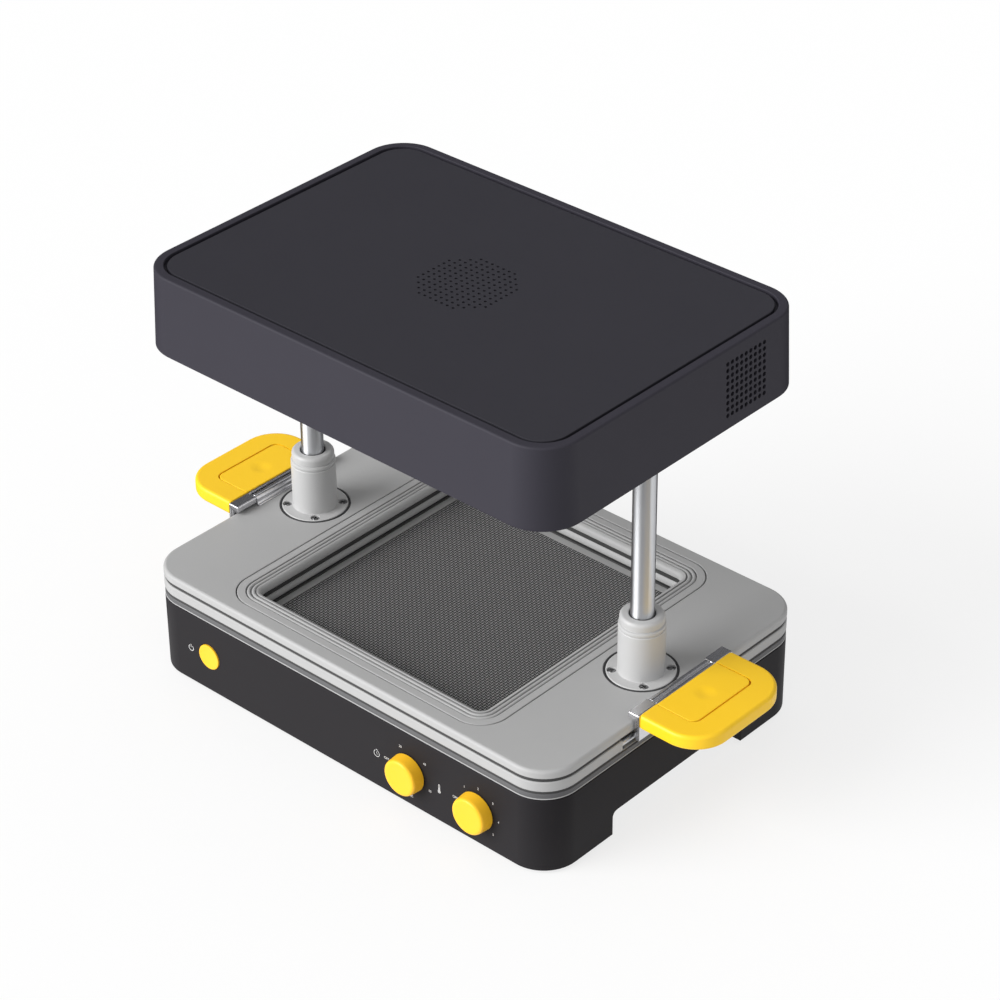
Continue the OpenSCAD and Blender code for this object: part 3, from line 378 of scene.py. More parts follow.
bedFinish = {
    "pitch": 2.1, "sharpness": 6.0, "depth": 0.25, "metal": 0.35, "gapRough": 0.55, "wireShine": 0.2,
    # gap is painted shade in the holes and on the wires' flanks; along is painted lighter than across, a
    # painted highlight
    "gap": (0.007, 0.007, 0.0075), "along": (0.62, 0.62, 0.62), "across": (0.41, 0.41, 0.41),
}
silver = (0.405, 0.405, 0.405)
yellow = (0.97, 0.60, 0.016)

# One look for each finish: its colour and roughness, then what differs from a plain fine grain
looks = {
    "black_casing": dict(colour=(0.016, 0.0145, 0.0165), rough=0.6, grain=0.6, Specular_IOR_Level=0.15),
    "zinc_plate": dict(colour=(0.55, 0.56, 0.58), rough=0.35, grain=1.5, Metallic=1.0),
    "black_rubber": dict(colour=(0.045, 0.045, 0.045), rough=0.75, grain=0.8),
    "zinc_screws": dict(colour=(0.6, 0.6, 0.62), rough=0.3, Metallic=1.0),
    "silver_paint": dict(
        colour=silver, rough=0.5, grain=0.35, depth=0.012, tone=0.04, Specular_IOR_Level=0.4),
    "grey_plastic": dict(colour=(0.10, 0.10, 0.104), rough=0.55),
    "black_plastic": dict(colour=(0.03, 0.03, 0.032), rough=0.5),
    "brass_pins": dict(colour=(0.7, 0.58, 0.32), rough=0.25, Metallic=1.0),
    "green_board": dict(colour=(0.02, 0.14, 0.05), rough=0.4),
    "polished_steel": dict(
        colour=(0.66, 0.67, 0.69), rough=0.40, grain=0.5, depth=0.002, tone=0.02, spread=0.04,
        stretch=(1, 1, 0.05), Metallic=1.0, Anisotropic=0.95, Anisotropic_Rotation=0.25),
    "cast_aluminium": dict(colour=(0.55, 0.56, 0.57), rough=0.45, grain=1.2, depth=0.05, Metallic=0.9),
    "dark_housing": dict(colour=(0.033, 0.031, 0.041), rough=0.55, Specular_IOR_Level=0.15),
    "dark_panel": dict(colour=(0.028, 0.027, 0.034), rough=0.55, Specular_IOR_Level=0.2),
    "dark_plate": dict(colour=(0.06, 0.06, 0.064), rough=0.5, grain=0.6),
    "bright_reflector": dict(
        colour=(0.8, 0.8, 0.79), rough=0.25, grain=2.0, stretch=(0.1, 1, 1), Metallic=1.0),
    "cream_insulation": dict(colour=(0.75, 0.7, 0.6), rough=0.9, grain=1.5, depth=0.2),
    "white_tubes": dict(colour=(0.85, 0.84, 0.82), rough=0.35, grain=2.0),
    "black_screws": dict(colour=(0.03, 0.03, 0.032), rough=0.4, Metallic=0.6),
    "pale_bush": dict(colour=(0.78, 0.76, 0.68), rough=0.5),
    "silver_collar": dict(colour=(0.49, 0.49, 0.49), rough=0.42, grain=0.35, depth=0.01, tone=0.03),
    "dark_screws": dict(colour=(0.30, 0.30, 0.305), rough=0.26, Metallic=0.85),
    "bright_chrome": dict(
        colour=(0.66, 0.66, 0.68), rough=0.22, grain=1.0, depth=0.0006, tone=0.02, spread=0.02, Metallic=1.0),
    "yellow_plastic": dict(
        colour=yellow, rough=0.4, grain=0.6, depth=0.008, tone=0.02, Specular_IOR_Level=0.35),
    "yellow_pad": dict(colour=yellow, rough=0.45, grain=0.6, depth=0.01, tone=0.02, Specular_IOR_Level=0.3),
    "yellow_knob": dict(
        colour=(0.96, 0.53, 0.02), rough=0.4, grain=0.6, depth=0.008, tone=0.02, Specular_IOR_Level=0.35),
    "print_ink": dict(colour=(0.62, 0.62, 0.62), rough=0.5),
}


def camelName(slot):
    first, *rest = slot.split("_")
    return first + "".join(word.capitalize() for word in rest)


finishes = {slot: grained(camelName(slot), **look) for slot, look in looks.items()}
finishes["bed_mesh"] = woven("bedMesh", bedFinish)

for part in frame["record"]["subparts"]:
    for place in nodes[part["node"]].material_slots:
        place.material = finishes[part["material_slot"]]
print("finishes:", len(finishes))

# Base

# The casing is its wall section carried round the plan; arches, shaft holes and sockets are cut afterwards
casing = {
    **machine,
    "section": [(0, 2), (0, 58), (3, 58), (3, 21.5), (8, 21.5), (8, 2)],
    "soft": [0.9, 0.8, 0.4, 0.2, 0.2, 0.8],
    "arch": [(-65.5, 0), (65.5, 0), (65.5, 20.3), (-65.5, 20.3)],
    "archSoft": [0.1, 0.1, 5.0, 5.0],
    "padAt": (160, 108), "padRadius": 14, "padZ": (3.4, 21.5),
    # wall, place, radius, depth and number of sides: two dial shafts, the button and the pipe
    "holes": [
        ("front", (61.6, 28.0), 4, 10, 32), ("front", (120.7, 28.0), 4, 10, 32),
        ("front", (-123, 30.4), 9.6, 9, 64), ("back", (0, 40.5), 15.6, 9, 64)],
    "inlet": (-110, 40.5), "inletHalf": (14.2, 10.4),
    "cutIn": 9, "cutOut": 5,
}


def buildCasing(c):
    wall = insetGrid(c["halfX"], c["halfY"], c["radius"], softened(c["section"], c["soft"]), 14)
    piece = addPiece("casing", shell(wall, closed=True))
    inside, outside, end = c["halfY"] - c["cutIn"], c["halfY"] + c["cutOut"], c["halfX"] + c["cutOut"]
    cutters = [placed(prism(softened(c["arch"], c["archSoft"], 8), -end, end), side="right")]
    for side, (x, z), radius, depth, steps in c["holes"]:
        cutters.append(rod(radius, c["halfY"] - depth, outside, (x, 0, z), side, steps))
    (x, z), (w, h) = c["inlet"], c["inletHalf"]
    cutters.append(block((x - w, inside, z - h), (x + w, outside, z + h)))
    carve(piece, cutters)
    settle(piece, "base", "black_casing", ["base_shell"])
    x, y = c["padAt"]
    pads = [rod(c["padRadius"], *c["padZ"], (sx * x, sy * y, 0), steps=48) for sx, sy in corners]
    settle(addPiece("footPads", joined(pads)), "base", "black_casing")


buildCasing(casing)

# Rubber feet turned from a profile with a rounded lower edge
foot = {"at": casing["padAt"], "profile": [(0.3, 0), (7.6, 0), (9, 1.2), (9, 3.5)]}
feet = [turned(foot["profile"], (sx * foot["at"][0], sy * foot["at"][1], 0), steps=48) for sx, sy in corners]
settle(addPiece("rubberFeet", joined(feet)), "base", "black_rubber", ["rubber_feet"])

# Deck: rows run up the outer edge, across the top to the bed's opening, and back under; a grey band closes
# its edge and four pillars stand under it
deck = {
    "halfX": 178.6, "halfY": 126.6, "radius": 25.1, "low": 58.7, "high": 63.2, "edge": 0.5,
    "bedHalf": 95.2, "bedRadius": 3.2, "bedFloor": 61.2, "wellHalf": 90,
    "columnHole": 8.0, "past": 3,  # cutters reach this far past the faces
    "bandHalf": (179.8, 127.8), "bandRadius": 26.3, "bandThick": 1.35, "bandHigh": 62.8, "lipHigh": 59.5,
    "bandCuts": [0.3, 0.5, 0.1, 0.1],
    "pillarAt": (139.2, 108), "pillarRadius": 5, "pillarLow": 23,
}


def buildDeck(d):
    a = np.linspace(0, quarter, 5)
    low, high, lipHigh, thick = d["low"], d["high"], d["lipHigh"], d["bandThick"]
    out = -d["edge"] * (1 - np.cos(a))
    well = [d["bedHalf"], d["bedHalf"], d["wellHalf"], d["wellHalf"]]
    lip = thick + 0.05  # the deck's lip stands just past the band that rests on it
    ledge = np.array([lip - 0.2, lip, lip - 0.15, 0])
    halfX = np.r_[d["halfX"] + ledge, d["halfX"] + out, well]
    halfY = np.r_[d["halfY"] + ledge, d["halfY"] + out, well]
    radius = np.r_[d["radius"] + ledge, d["radius"] + out, [d["bedRadius"]] * 4]
    edgeUp = high - d["edge"] * (1 - np.sin(a))
    height = np.r_[low, low + 0.2, lipHigh - 0.1, lipHigh, edgeUp, high, d["bedFloor"], d["bedFloor"], low]
    piece = addPiece("deckPlate", ringShape(halfX, halfY, radius, height))
    start, end = low - d["past"], high + d["past"]
    places = [(side * machine["columnX"], 0, 0) for side in sides]
    carve(piece, [rod(d["columnHole"], start, end, place, steps=48) for place in places])
    settle(piece, "base", "silver_paint", ["base_deck"])
    section = [(0, lipHigh), (0, d["bandHigh"]), (thick, d["bandHigh"]), (thick, lipHigh)]
    band = insetGrid(*d["bandHalf"], d["bandRadius"], softened(section, d["bandCuts"]), 14)
    settle(addPiece("deckBand", shell(band, closed=True)), "base", "grey_plastic")
    x, y = d["pillarAt"]
    pillars = [rod(d["pillarRadius"], d["pillarLow"], low, (sx * x, sy * y, 0)) for sx, sy in corners]
    settle(addPiece("deckPillars", joined(pillars)), "base", "silver_paint")


buildDeck(deck)

# Bed sheet: one thin plate, its weave is in the finish
bed = {"half": 95, "radius": 3, "section": [(0.2, 61.2), (0, 61.4), (0, 62.9), (0.3, 63.2)]}
bedRows = insetGrid(bed["half"], bed["half"], bed["radius"], bed["section"])
settle(addPiece("bedSheet", shell(bedRows)), "base", "bed_mesh", ["forming_bed"])

# Knobs: a turned profile with a rounded rim and a face that sinks a little to the middle
knob = {
    "z": 28, "dials": {"timer_knob": ("timer_dial", 61.6), "temperature_knob": ("temperature_dial", 120.7)},
    "profile": [
        (3.1, 0.5), (13.5, 0.5), (13.8, 0.8), (13.25, 7.6), (13.1, 8.4), (12.8, 9.1), (12.3, 9.6),
        (11.6, 9.9), (10.8, 10.0), (9.8, 9.95), (4, 9.8), (0.2, 9.77)],
}
for name, (body, x) in knob["dials"].items():
    shape = turned(knob["profile"], (x, -machine["halfY"], knob["z"]), "front")
    settle(addPiece(name + "Cap", shape), body, "yellow_knob", [name])

# Button: the same kind of profile, shallow, with a stub behind the wall
button = {
    "x": -123, "z": 30.4,
    "profile": [
        (0.2, -4.5), (3, -4.5), (3, -3.9), (9.3, -3.9), (9.3, 0.5), (9.1, 0.85), (8.7, 1.0), (7.9, 1.0),
        (7.4, 0.75), (0.2, 0.7)],
}
shape = turned(button["profile"], (button["x"], -machine["halfY"], button["z"]), "front")
settle(addPiece("powerCap", shape), "power_key", "yellow_knob", ["power_button"])
print("base built")

# Columns: plain turned bars
column = {"profile": [(7.15, 23), (7.75, 23.6), (7.75, 298.4), (7.15, 299)]}
for side, name in zip(sides, ("column_left", "column_right")):
    shape = turned(column["profile"], (side * machine["columnX"], 0, 0))
    settle(addPiece(name + "Bar", shape), "base", "polished_steel", [name])

# Heater head

# The side section leans in by the flare, turns over a small edge and steps down into the panel's recess
head = {
    "bottomX": 176.5, "bottomY": 124.8, "topX": 174.2, "topY": 122.5, "radius": 28, "edge": 1.5,
    "low": 253.2, "high": 309.8,
    "recessX": 167.8, "recessY": 116.1, "recessRadius": 21.6, "recessZ": 306.4, "rim": 0.3,
    "openX": 159, "openY": 107.3, "openRadius": 12.8, "roof": 303.4, "wall": 3,
    "ventX": (166, 182), "ventY": 61.5, "ventZ": 281.2, "ventCount": 9, "ventPitch": 4.5, "ventHole": 1.6,
    "bossAt": [(x, y) for x in (-139.36, 0, 139.36) for y in (-118, 118)],
    "bossRadius": 4, "bossZ": (257, 273),
}


def buildHead(h):
    a = np.linspace(0, quarter, 6)
    low, high, rim, wall = h["low"], h["high"], h["rim"], h["wall"]
    edgeIn, edgeUp = h["edge"] * (1 - np.cos(a)), high - h["edge"] * (1 - np.sin(a))
    flare = h["bottomX"] - h["topX"]
    lean = flare * (high - edgeUp) / (high - low) - edgeIn
    ledge = flare * (high - h["roof"]) / (high - low) - wall
    out = np.r_[flare - 0.5, flare, lean]  # how far each outer row stands out of the top outline
    halfX, halfY = (
        np.r_[
            h["top" + axis] + out, h["recess" + axis] + rim, h["recess" + axis], h["recess" + axis],
            h["open" + axis], h["open" + axis], h["top" + axis] + ledge, h["bottom" + axis] - wall]
        for axis in "XY")
    radius = np.r_[
        h["radius"] + out, h["recessRadius"] + rim, h["recessRadius"], h["recessRadius"],
        h["openRadius"], h["openRadius"], h["radius"] + ledge, h["radius"] + flare - wall]
    recess, roof = h["recessZ"], h["roof"]
    height = np.r_[low, low + 0.5, edgeUp, high, high - rim, recess, recess, roof, roof, low]
    piece = addPiece("headCover", ringShape(halfX, halfY, radius, height, steps=16))
    step = (np.arange(h["ventCount"]) - (h["ventCount"] - 1) / 2) * h["ventPitch"]
    holes = [(0, h["ventY"] + y, h["ventZ"] + z) for y in step for z in step]
    carve(piece, [rod(h["ventHole"], *h["ventX"], hole, "right", steps=12) for hole in holes])
    settle(piece, "base", "dark_housing", ["heater_housing"])
    bosses = [rod(h["bossRadius"], *h["bossZ"], (x, y, 0), steps=24) for x, y in h["bossAt"]]
    settle(addPiece("headBosses", joined(bosses)), "base", "dark_housing")


buildHead(head)

# Top panel: a plate with a fine edge and a field of small holes
panel = {
    "halfX": 165.5, "halfY": 113.8, "radius": 19.3, "low": 306.4, "high": 309.4, "edge": 0.7,
    "count": 13, "pitch": 4.8, "hole": 1.1, "reach": 9.6, "past": 2,
}


def buildPanel(p):
    low, high, edge = p["low"], p["high"], p["edge"]
    section = [(0, low), (0, high - edge), (edge * 0.3, high - edge * 0.3), (edge, high)]
    piece = addPiece("topPanel", shell(insetGrid(p["halfX"], p["halfY"], p["radius"], section, 14)))
    step = np.arange(p["count"]) - (p["count"] - 1) / 2
    x, y = (v.ravel() for v in np.meshgrid(step, step))
    keep = np.abs(x) + np.abs(y) < p["reach"]
    spots = np.column_stack([x, y])[keep] * p["pitch"]
    start, end = low - p["past"], high + p["past"]
    carve(piece, [rod(p["hole"], start, end, (sx, sy, 0), steps=12) for sx, sy in spots])
    settle(piece, "base", "dark_panel", ["heater_top_panel"])


buildPanel(panel)
print("heater head built")

# Sheet frame

# Lower plate: rounded outside, its opening rolled inwards above and below
lower = {
    **machine, "low": 64.7, "high": 72.2, "edge": 0.8,
    "openHalf": 100.5, "openRadius": 6, "softTop": 3.8, "softUnder": 3.0,
    "notchHalf": 57, "notchDepth": 8, "notchRadius": 4, "notchPast": 10,
    "bushHole": 11.05, "rimHole": 13.55, "rimDepth": 1.5, "past": 2,
}


def buildLower(p):
    low, high, edge = p["low"], p["high"], p["edge"]
    inset, height = edgeRows(low, high, edge, edge, 5)
    back, down = (v[::-1] for v in edgeRows(low, high, p["softUnder"], p["softTop"], 5))
    halfX, halfY = (np.r_[p[outer] - inset, p["openHalf"] + back] for outer in ("halfX", "halfY"))
    radius = np.r_[p["radius"] - inset, p["openRadius"] + back]
    piece = addPiece("lowerPlate", ringShape(halfX, halfY, radius, np.r_[height, down]))
    start, rim, end = low - p["past"], high - p["rimDepth"], high + p["past"]
    hole = [(p["bushHole"], start), (p["bushHole"], rim), (p["rimHole"], rim), (p["rimHole"], end)]
    notch, cutters = p["notchHalf"], []
    for side in sides:
        near, far = sorted([side * (p["halfX"] - p["notchDepth"]), side * (p["halfX"] + p["notchPast"])])
        cutters.append(block((near, -notch, start), (far, notch, end), p["notchRadius"], 8))
        cutters.append(turned(hole, (side * p["columnX"], 0, 0), steps=64))
    carve(piece, cutters)
    settle(piece, "lower_tray", "silver_paint", ["lower_frame"])


buildLower(lower)

# A dark strip on the inner wall of each hinge notch, painted shade in the notch's recess
notchShade = {"x": (172.05, 172.5), "half": 55, "z": (65.0, 72.0)}
(near, far), reach, (low, high) = notchShade["x"], notchShade["half"], notchShade["z"]
strips = [block((near, -reach, low), (far, reach, high)), block((-far, -reach, low), (-near, reach, high))]
settle(addPiece("notchLiners", joined(strips)), "lower_tray", "black_rubber")

# Upper plate: rounded outside, with a seat for the ring insert and one for each collar's flange
upper = {
    **machine, "low": 74.8, "high": 80.8, "edge": 2.4, "under": 0.6, "rim": 0.3,
    "seatHalf": 117.6, "seatRadius": 21.8, "seat": 77.3, "openHalf": 112.6, "openRadius": 16,
    "flangeHole": 24.6, "flangeSeat": 78.2, "spigotHole": 13.0, "past": 2,
}


def buildUpper(p):
    low, high, rim, seat = p["low"], p["high"], p["rim"], p["seat"]
    wide, narrow = p["flangeHole"], p["spigotHole"]
    inset, height = edgeRows(low, high, p["under"], p["edge"], 7)
    inner = [p["seatHalf"] + rim, p["seatHalf"], p["seatHalf"], p["openHalf"], p["openHalf"]]
    corner = [p["seatRadius"] + rim, p["seatRadius"], p["seatRadius"], p["openRadius"], p["openRadius"]]
    halfX, halfY = (np.r_[p[outer] - inset, inner] for outer in ("halfX", "halfY"))
    radius = np.r_[p["radius"] - inset, corner]
    height = np.r_[height, high, high - rim, seat, seat, low]
    piece = addPiece("upperPlate", ringShape(halfX, halfY, radius, height, steps=16))
    hole = [
        (narrow, low - p["past"]), (narrow, p["flangeSeat"]), (wide, p["flangeSeat"]), (wide, high - rim),
        (wide + rim, high), (wide + rim, high + p["past"])]
    carve(piece, [turned(hole, (side * p["columnX"], 0, 0)) for side in sides])
    settle(piece, "upper_tray", "silver_paint", ["upper_frame"])


buildUpper(upper)

# Ring insert: rows step in from the outer edge over a flat band, two rounded beads and a lip, then go down
# the opening. The corner radius of a row falls evenly from the outer one to that of the opening
insert = {
    "outer": 116.8, "inner": 100.5, "outerRadius": 21, "innerRadius": 6,
    "low": 74.8, "shelf": 77.3, "neck": 112.4, "groove": 79.0, "top": 80.8,
    "band": (116.8, 111.3), "bandEdge": 0.5, "beads": [(110.55, 108.2), (107.4, 105.05)], "squareness": 0.5,
    "lip": (104.25, 100.5), "roll": (3.6, 4.4), "under": 1.2,
}


def buildInsert(r):
    top, groove, edge, (outer, inner) = r["top"], r["groove"], r["bandEdge"], r["band"]
    a = np.linspace(0, quarter, 4)[1:]
    half = [r["neck"], r["neck"], r["outer"], r["outer"]]
    half += [*(outer - edge * (1 - np.cos(a))), inner + 0.25, inner, inner]
    height = [r["low"], r["shelf"], r["shelf"], top - edge]
    height += [*(top - edge + edge * np.sin(a)), top, top - 0.25, groove]
    a = np.linspace(0, np.pi, 17)
    foot = groove + 0.15
    bead = foot + (top - foot) * np.abs(np.sin(a)) ** r["squareness"]
    for outer, inner in r["beads"]:
        half += [outer, *((outer + inner) / 2 + (outer - inner) / 2 * np.cos(a)), inner]
        height += [groove, *bead, groove]
    a = np.linspace(0, quarter, 9)
    (outer, inner), (wide, deep), under = r["lip"], r["roll"], r["under"]
    half += [outer, outer, outer - 0.15, *(inner + wide * (1 - np.sin(a)))]
    half += [*(inner + under * (1 - np.cos(a[::2])))]
    height += [groove, top - 0.15, top, *(top - deep * (1 - np.cos(a)))]
    height += [*(r["low"] + under * (1 - np.sin(a[::2])))]
    half = np.array(half)
    share = (r["outer"] - half) / (r["outer"] - r["inner"])
    radius = r["outerRadius"] + share * (r["innerRadius"] - r["outerRadius"])
    piece = addPiece("ringInsert", ringShape(half, half, radius, height))
    settle(piece, "upper_tray", "silver_paint", ["ring_insert"], sharp=40)


buildInsert(insert)

# Collars: one closed profile turned about each column, then four screw seats cut in the flange
collar = {
    "x": machine["columnX"], "profile": [
        (10.6, 74.8), (12.8, 74.8), (12.8, 78.2), (22.8, 78.2), (23, 78.4), (23, 80.4), (22.93, 80.75),
        (22.74, 81.04), (22.45, 81.23), (22.1, 81.3), (16.3, 81.3), (15.7, 81.5), (15.5, 82.1),
        (15.5, 114.9), (15.2, 115.3), (14.9, 115.4), (15.2, 115.9), (15.45, 116.6), (15.5, 117.2),
        (15.45, 117.8), (15.2, 118.5), (14.2, 119.0), (14.1, 119.3), (14.6, 119.7), (14.7, 120.2),
        (14.7, 123.0), (14.5, 124.0), (13.9, 124.9), (13.1, 125.4), (12.2, 125.5),
        (9.4, 125.5), (8.8, 124.9), (8.8, 110), (10.6, 110)],
    "circle": 19.25, "screwSeat": [(1.6, 74), (1.6, 79.0), (3.25, 79.0), (3.25, 83)],
}
screwStep = collar["circle"] * diagonal
for side, name in zip(sides, ("collar_left", "collar_right")):
    x = side * collar["x"]
    piece = addPiece(name + "Turned", turned(collar["profile"], (x, 0, 0), closed=True))
    spots = [(x + sx * screwStep, sy * screwStep, 0) for sx, sy in corners]
    carve(piece, [turned(collar["screwSeat"], spot, steps=32) for spot in spots])
    settle(piece, "upper_tray", "silver_collar", [name])

# Dark rings of painted shade: one fills the shadowed gap round each flange, one the shadowed gap round the
# column in the collar's mouth
ring = {"flange": (23.1, 24.5, 78.3, 80.9), "wiper": (7.85, 8.75, 118, 125.0)}
for name, (near, far, low, high) in ring.items():
    profile = softened([(near, low), (far, low), (far, high), (near, high)], [0.1, 0.1, 0.3, 0.3])
    rings = [turned(profile, (side * collar["x"], 0, 0), closed=True) for side in sides]
    settle(addPiece("ring_" + name, joined(rings)), "upper_tray", "black_plastic")

# Cross-head screws: a washer, a domed head with its cross cut out, and a plain shank
screw = {
    "radius": 2.5, "seat": 79.0, "height": 2.2, "shank": 1.5, "end": 75.0,
    "washer": (3.2, 1.3), "cross": (2.1, 0.5), "depth": 1.6,
}


def buildScrews(s):
    top, low, radius, (wide, thick) = s["seat"] + s["height"], s["seat"], s["radius"], s["washer"]
    profile = [
        (s["shank"], s["end"]), (s["shank"], low), (wide, low), (wide, low + thick), (radius, low + thick),
        (radius, top - 0.8), (radius - 0.25, top - 0.4), (radius - 0.8, top - 0.12), (0.1, top)]
    long, thin = s["cross"]
    arm = [(long, -thin), (long, thin), (thin, thin)]
    quarterTurns = ((1, 0), (0, 1), (-1, 0), (0, -1))
    plus = np.array([(x * c - y * d, x * d + y * c) for c, d in quarterTurns for x, y in arm])
    spots = [(side * collar["x"] + sx * screwStep, sy * screwStep) for side in sides for sx, sy in corners]
    piece = addPiece("collarScrews", joined([turned(profile, (x, y, 0), steps=32) for x, y in spots]))
    angle = range(len(spots))  # each screw stopped at another angle, in radians
    crosses = [plus @ np.array([(np.cos(t), np.sin(t)), (-np.sin(t), np.cos(t))]) for t in angle]
    carve(piece, [prism(cross + spot, top - s["depth"], top + 1) for cross, spot in zip(crosses, spots)])
    settle(piece, "upper_tray", "dark_screws", ["collar_screws"])


buildScrews(screw)

# Dark strips of painted shade in the two seams round the sheet frame, left open at the hinge notches
seamShade = {
    **machine, "cutX": 10, "cutY": 59, "cutZ": (60, 77),
    "low": ("base", [(0.7, 62.85), (0.7, 64.6), (4.0, 64.6), (4.0, 63.25), (1.3, 63.25), (1.3, 62.85)]),
    "high": ("lower_tray", [(0.9, 72.25), (0.9, 74.6), (4.0, 74.6), (4.0, 72.25)]),
}
for word in ("low", "high"):
    body, section = seamShade[word]
    rows = insetGrid(seamShade["halfX"], seamShade["halfY"], seamShade["radius"], section, 14)
    piece = addPiece("seamStrip_" + word, shell(rows, closed=True))
    (low, high), cutX, cutY = seamShade["cutZ"], seamShade["cutX"], seamShade["cutY"]
    ends = [side * seamShade["halfX"] for side in sides]
    carve(piece, [block((end - cutX, -cutY, low), (end + cutX, cutY, high)) for end in ends])
    settle(piece, body, "black_rubber")
print("sheet frame built")

# Hinges and handles

hinge = {
    "x": 178.6, "z": 84.4, "radius": 3.3, "leafHalf": 28.3, "footX": 173.3, "footLow": 80.8, "footHigh": 81.7,
    "arc": (-0.45, 0.92), "webDip": (175.7, 81.7), "legX": (182.4, 184.5), "legZ": (68, 87.7), "half": 47,
    "knuckle": 28.6, "tabX": 175.3, "tabLow": 83.2, "tabEdge": 0.9, "hollow": (176.5, 182.3, 86.1),
    "endWall": 1.3, "barrel": 2.6, "cheek": (45, 180.7), "pin": 1.5,
    "tabCuts": [0.5, 0.1, 0.4, 0.4, 1.3, 1.3], "legCuts": [0.4, 0.4, 1.0, 0.4],
    "cheekCuts": [1.2, 0.2, 0.2, 0.8],
}


# The leaf's section rises from a thin foot in a hollow curve, point(s) = (1-s)^2 A + 2s(1-s) dip + s^2 B, and
# runs over a round barrel; it is carried along the hinge
def leafShape(h):
    a = np.pi * np.linspace(*h["arc"], 28)
    barrel = np.column_stack([h["x"] + h["radius"] * np.cos(a), h["z"] + h["radius"] * np.sin(a)])
    s = np.linspace(0, 1, 9)[1:-1, None]
    start, end = barrel[-1], np.array([h["footX"] + 0.3, h["footHigh"]])
    web = (1 - s) ** 2 * start + 2 * s * (1 - s) * np.array(h["webDip"]) + s**2 * end
    foot = [end, (h["footX"], h["footHigh"] - 0.3), (h["footX"], h["footLow"]), (h["x"] + 0.4, h["footLow"])]
    return placed(prism(np.vstack([barrel, web, foot]), -h["leafHalf"], h["leafHalf"], 0.15), side="front")


# A flat-topped tab: the leg's section with a roof to the inner side, hollowed from below behind an end wall
def buildTab(h, word, end, hand):
    (x0, x1), (z0, z1) = h["legX"], h["legZ"]
    corner = [(h["tabX"], h["tabLow"]), (x0, h["tabLow"]), (x0, z0), (x1, z0), (x1, z1), (h["tabX"], z1)]
    low, high = sorted((end * h["knuckle"], end * h["half"]))
    shape = placed(softPrism(corner, h["tabCuts"], low, high, h["tabEdge"]), side="front")
    piece = addPiece("bracketTab%s_%s" % ("Front" if end > 0 else "Back", word), hand(shape))
    inX, outX, roof = h["hollow"]
    near, far = sorted((-end * (h["knuckle"] - 2), -end * (h["half"] - h["endWall"])))
    carve(piece, [hand(block((inX, near, h["tabLow"] - 4), (outX, far, roof), 0.4, 3))])
    settle(piece, "handle_" + word, "bright_chrome")


def buildHinge(h, word, hand):
    body = "handle_" + word
    leaf = addPiece("hingeLeaf_" + word, hand(leafShape(h)))
    settle(leaf, "upper_tray", "bright_chrome", ["hinge_leaf_" + word])
    (x0, x1), (z0, z1) = h["legX"], h["legZ"]
    leg = softened([(x0, z0), (x1, z0), (x1, z1), (x0, z1)], h["legCuts"])
    middle = hand(placed(prism(leg, -h["knuckle"], h["knuckle"]), side="front"))
    settle(addPiece("bracketLeg_" + word, middle), body, "bright_chrome", ["handle_bracket_" + word])
    depth, x = h["cheek"]
    cheek = softened([(x, z0), (x0 + 0.5, z0), (x0 + 0.5, h["z"]), (x, h["z"])], h["cheekCuts"])
    barrels, cheeks = [], []
    for end in sides:
        buildTab(h, word, end, hand)
        low, high = sorted((end * (h["knuckle"] + 0.3), end * (h["half"] - h["endWall"] + 0.1)))
        barrels.append(hand(rod(h["barrel"], low, high, (h["x"], 0, h["z"]), "front")))
        low, high = sorted((end * depth, end * (h["half"] - 0.1)))
        cheeks.append(hand(placed(prism(cheek, low, high, 0.3), side="front")))
    settle(addPiece("bracketBarrels_" + word, joined(barrels)), body, "bright_chrome")
    settle(addPiece("bracketCheeks_" + word, joined(cheeks)), body, "bright_chrome")


for word, hand in hands.items():
    buildHinge(hinge, word, hand)
reach = hinge["half"] - 1
pins = [rod(hinge["pin"], -reach, reach, (side * hinge["x"], 0, hinge["z"]), "front") for side in sides]
settle(addPiece("hingePins", joined(pins)), "upper_tray", "dark_screws", ["hinge_pins"])

# Grip: rows of one outline, moved in as a quarter circle at the top and bottom edges
grip = {
    "x": (184.5, 234), "half": 46.3, "z": (77.4, 88.1), "outer": 25.5, "inner": 1.2, "edge": 2.5,
    "recessX": 216.1, "recessHalf": 30.2, "recessRadius": 6.6, "recessFloor": 84.5,
    "padX": (184.7, 214.9), "padHalf": 29.5, "padRadius": 6, "padBack": 0.3, "padEdge": 0.4, "padStep": 1.2,
    "dish": 0.6, "dishAt": (200, 0), "dishRadius": 8.5,
}


def gripShape(g):
    inset, height = edgeRows(*g["z"], g["edge"], g["edge"], 6)
    low, high, side = g["x"][0], g["x"][1] - inset, g["half"] - inset
    inner, outer = g["inner"] + 0 * inset, g["outer"] - inset
    return shell(planGrid(low, high, -side, side, np.stack([inner, outer, outer, inner], 1), height, 18))


# Rows with points added along their long straight runs, at the same shares of the outline in every row
def filled(grid, step):
    turn = np.concatenate([grid, grid[:, :1]], 1)
    length = np.r_[0, np.cumsum(np.linalg.norm(np.diff(turn[0], axis=0), axis=1))]
    at = np.unique(np.r_[length[:-1], np.arange(0, length[-1], step)].round(5))
    index = np.interp(at, length, np.arange(len(length)))
    low = np.minimum(index.astype(int), len(length) - 2)
    share = (index - low)[:, None]
    return turn[:, low] * (1 - share) + turn[:, low + 1] * share


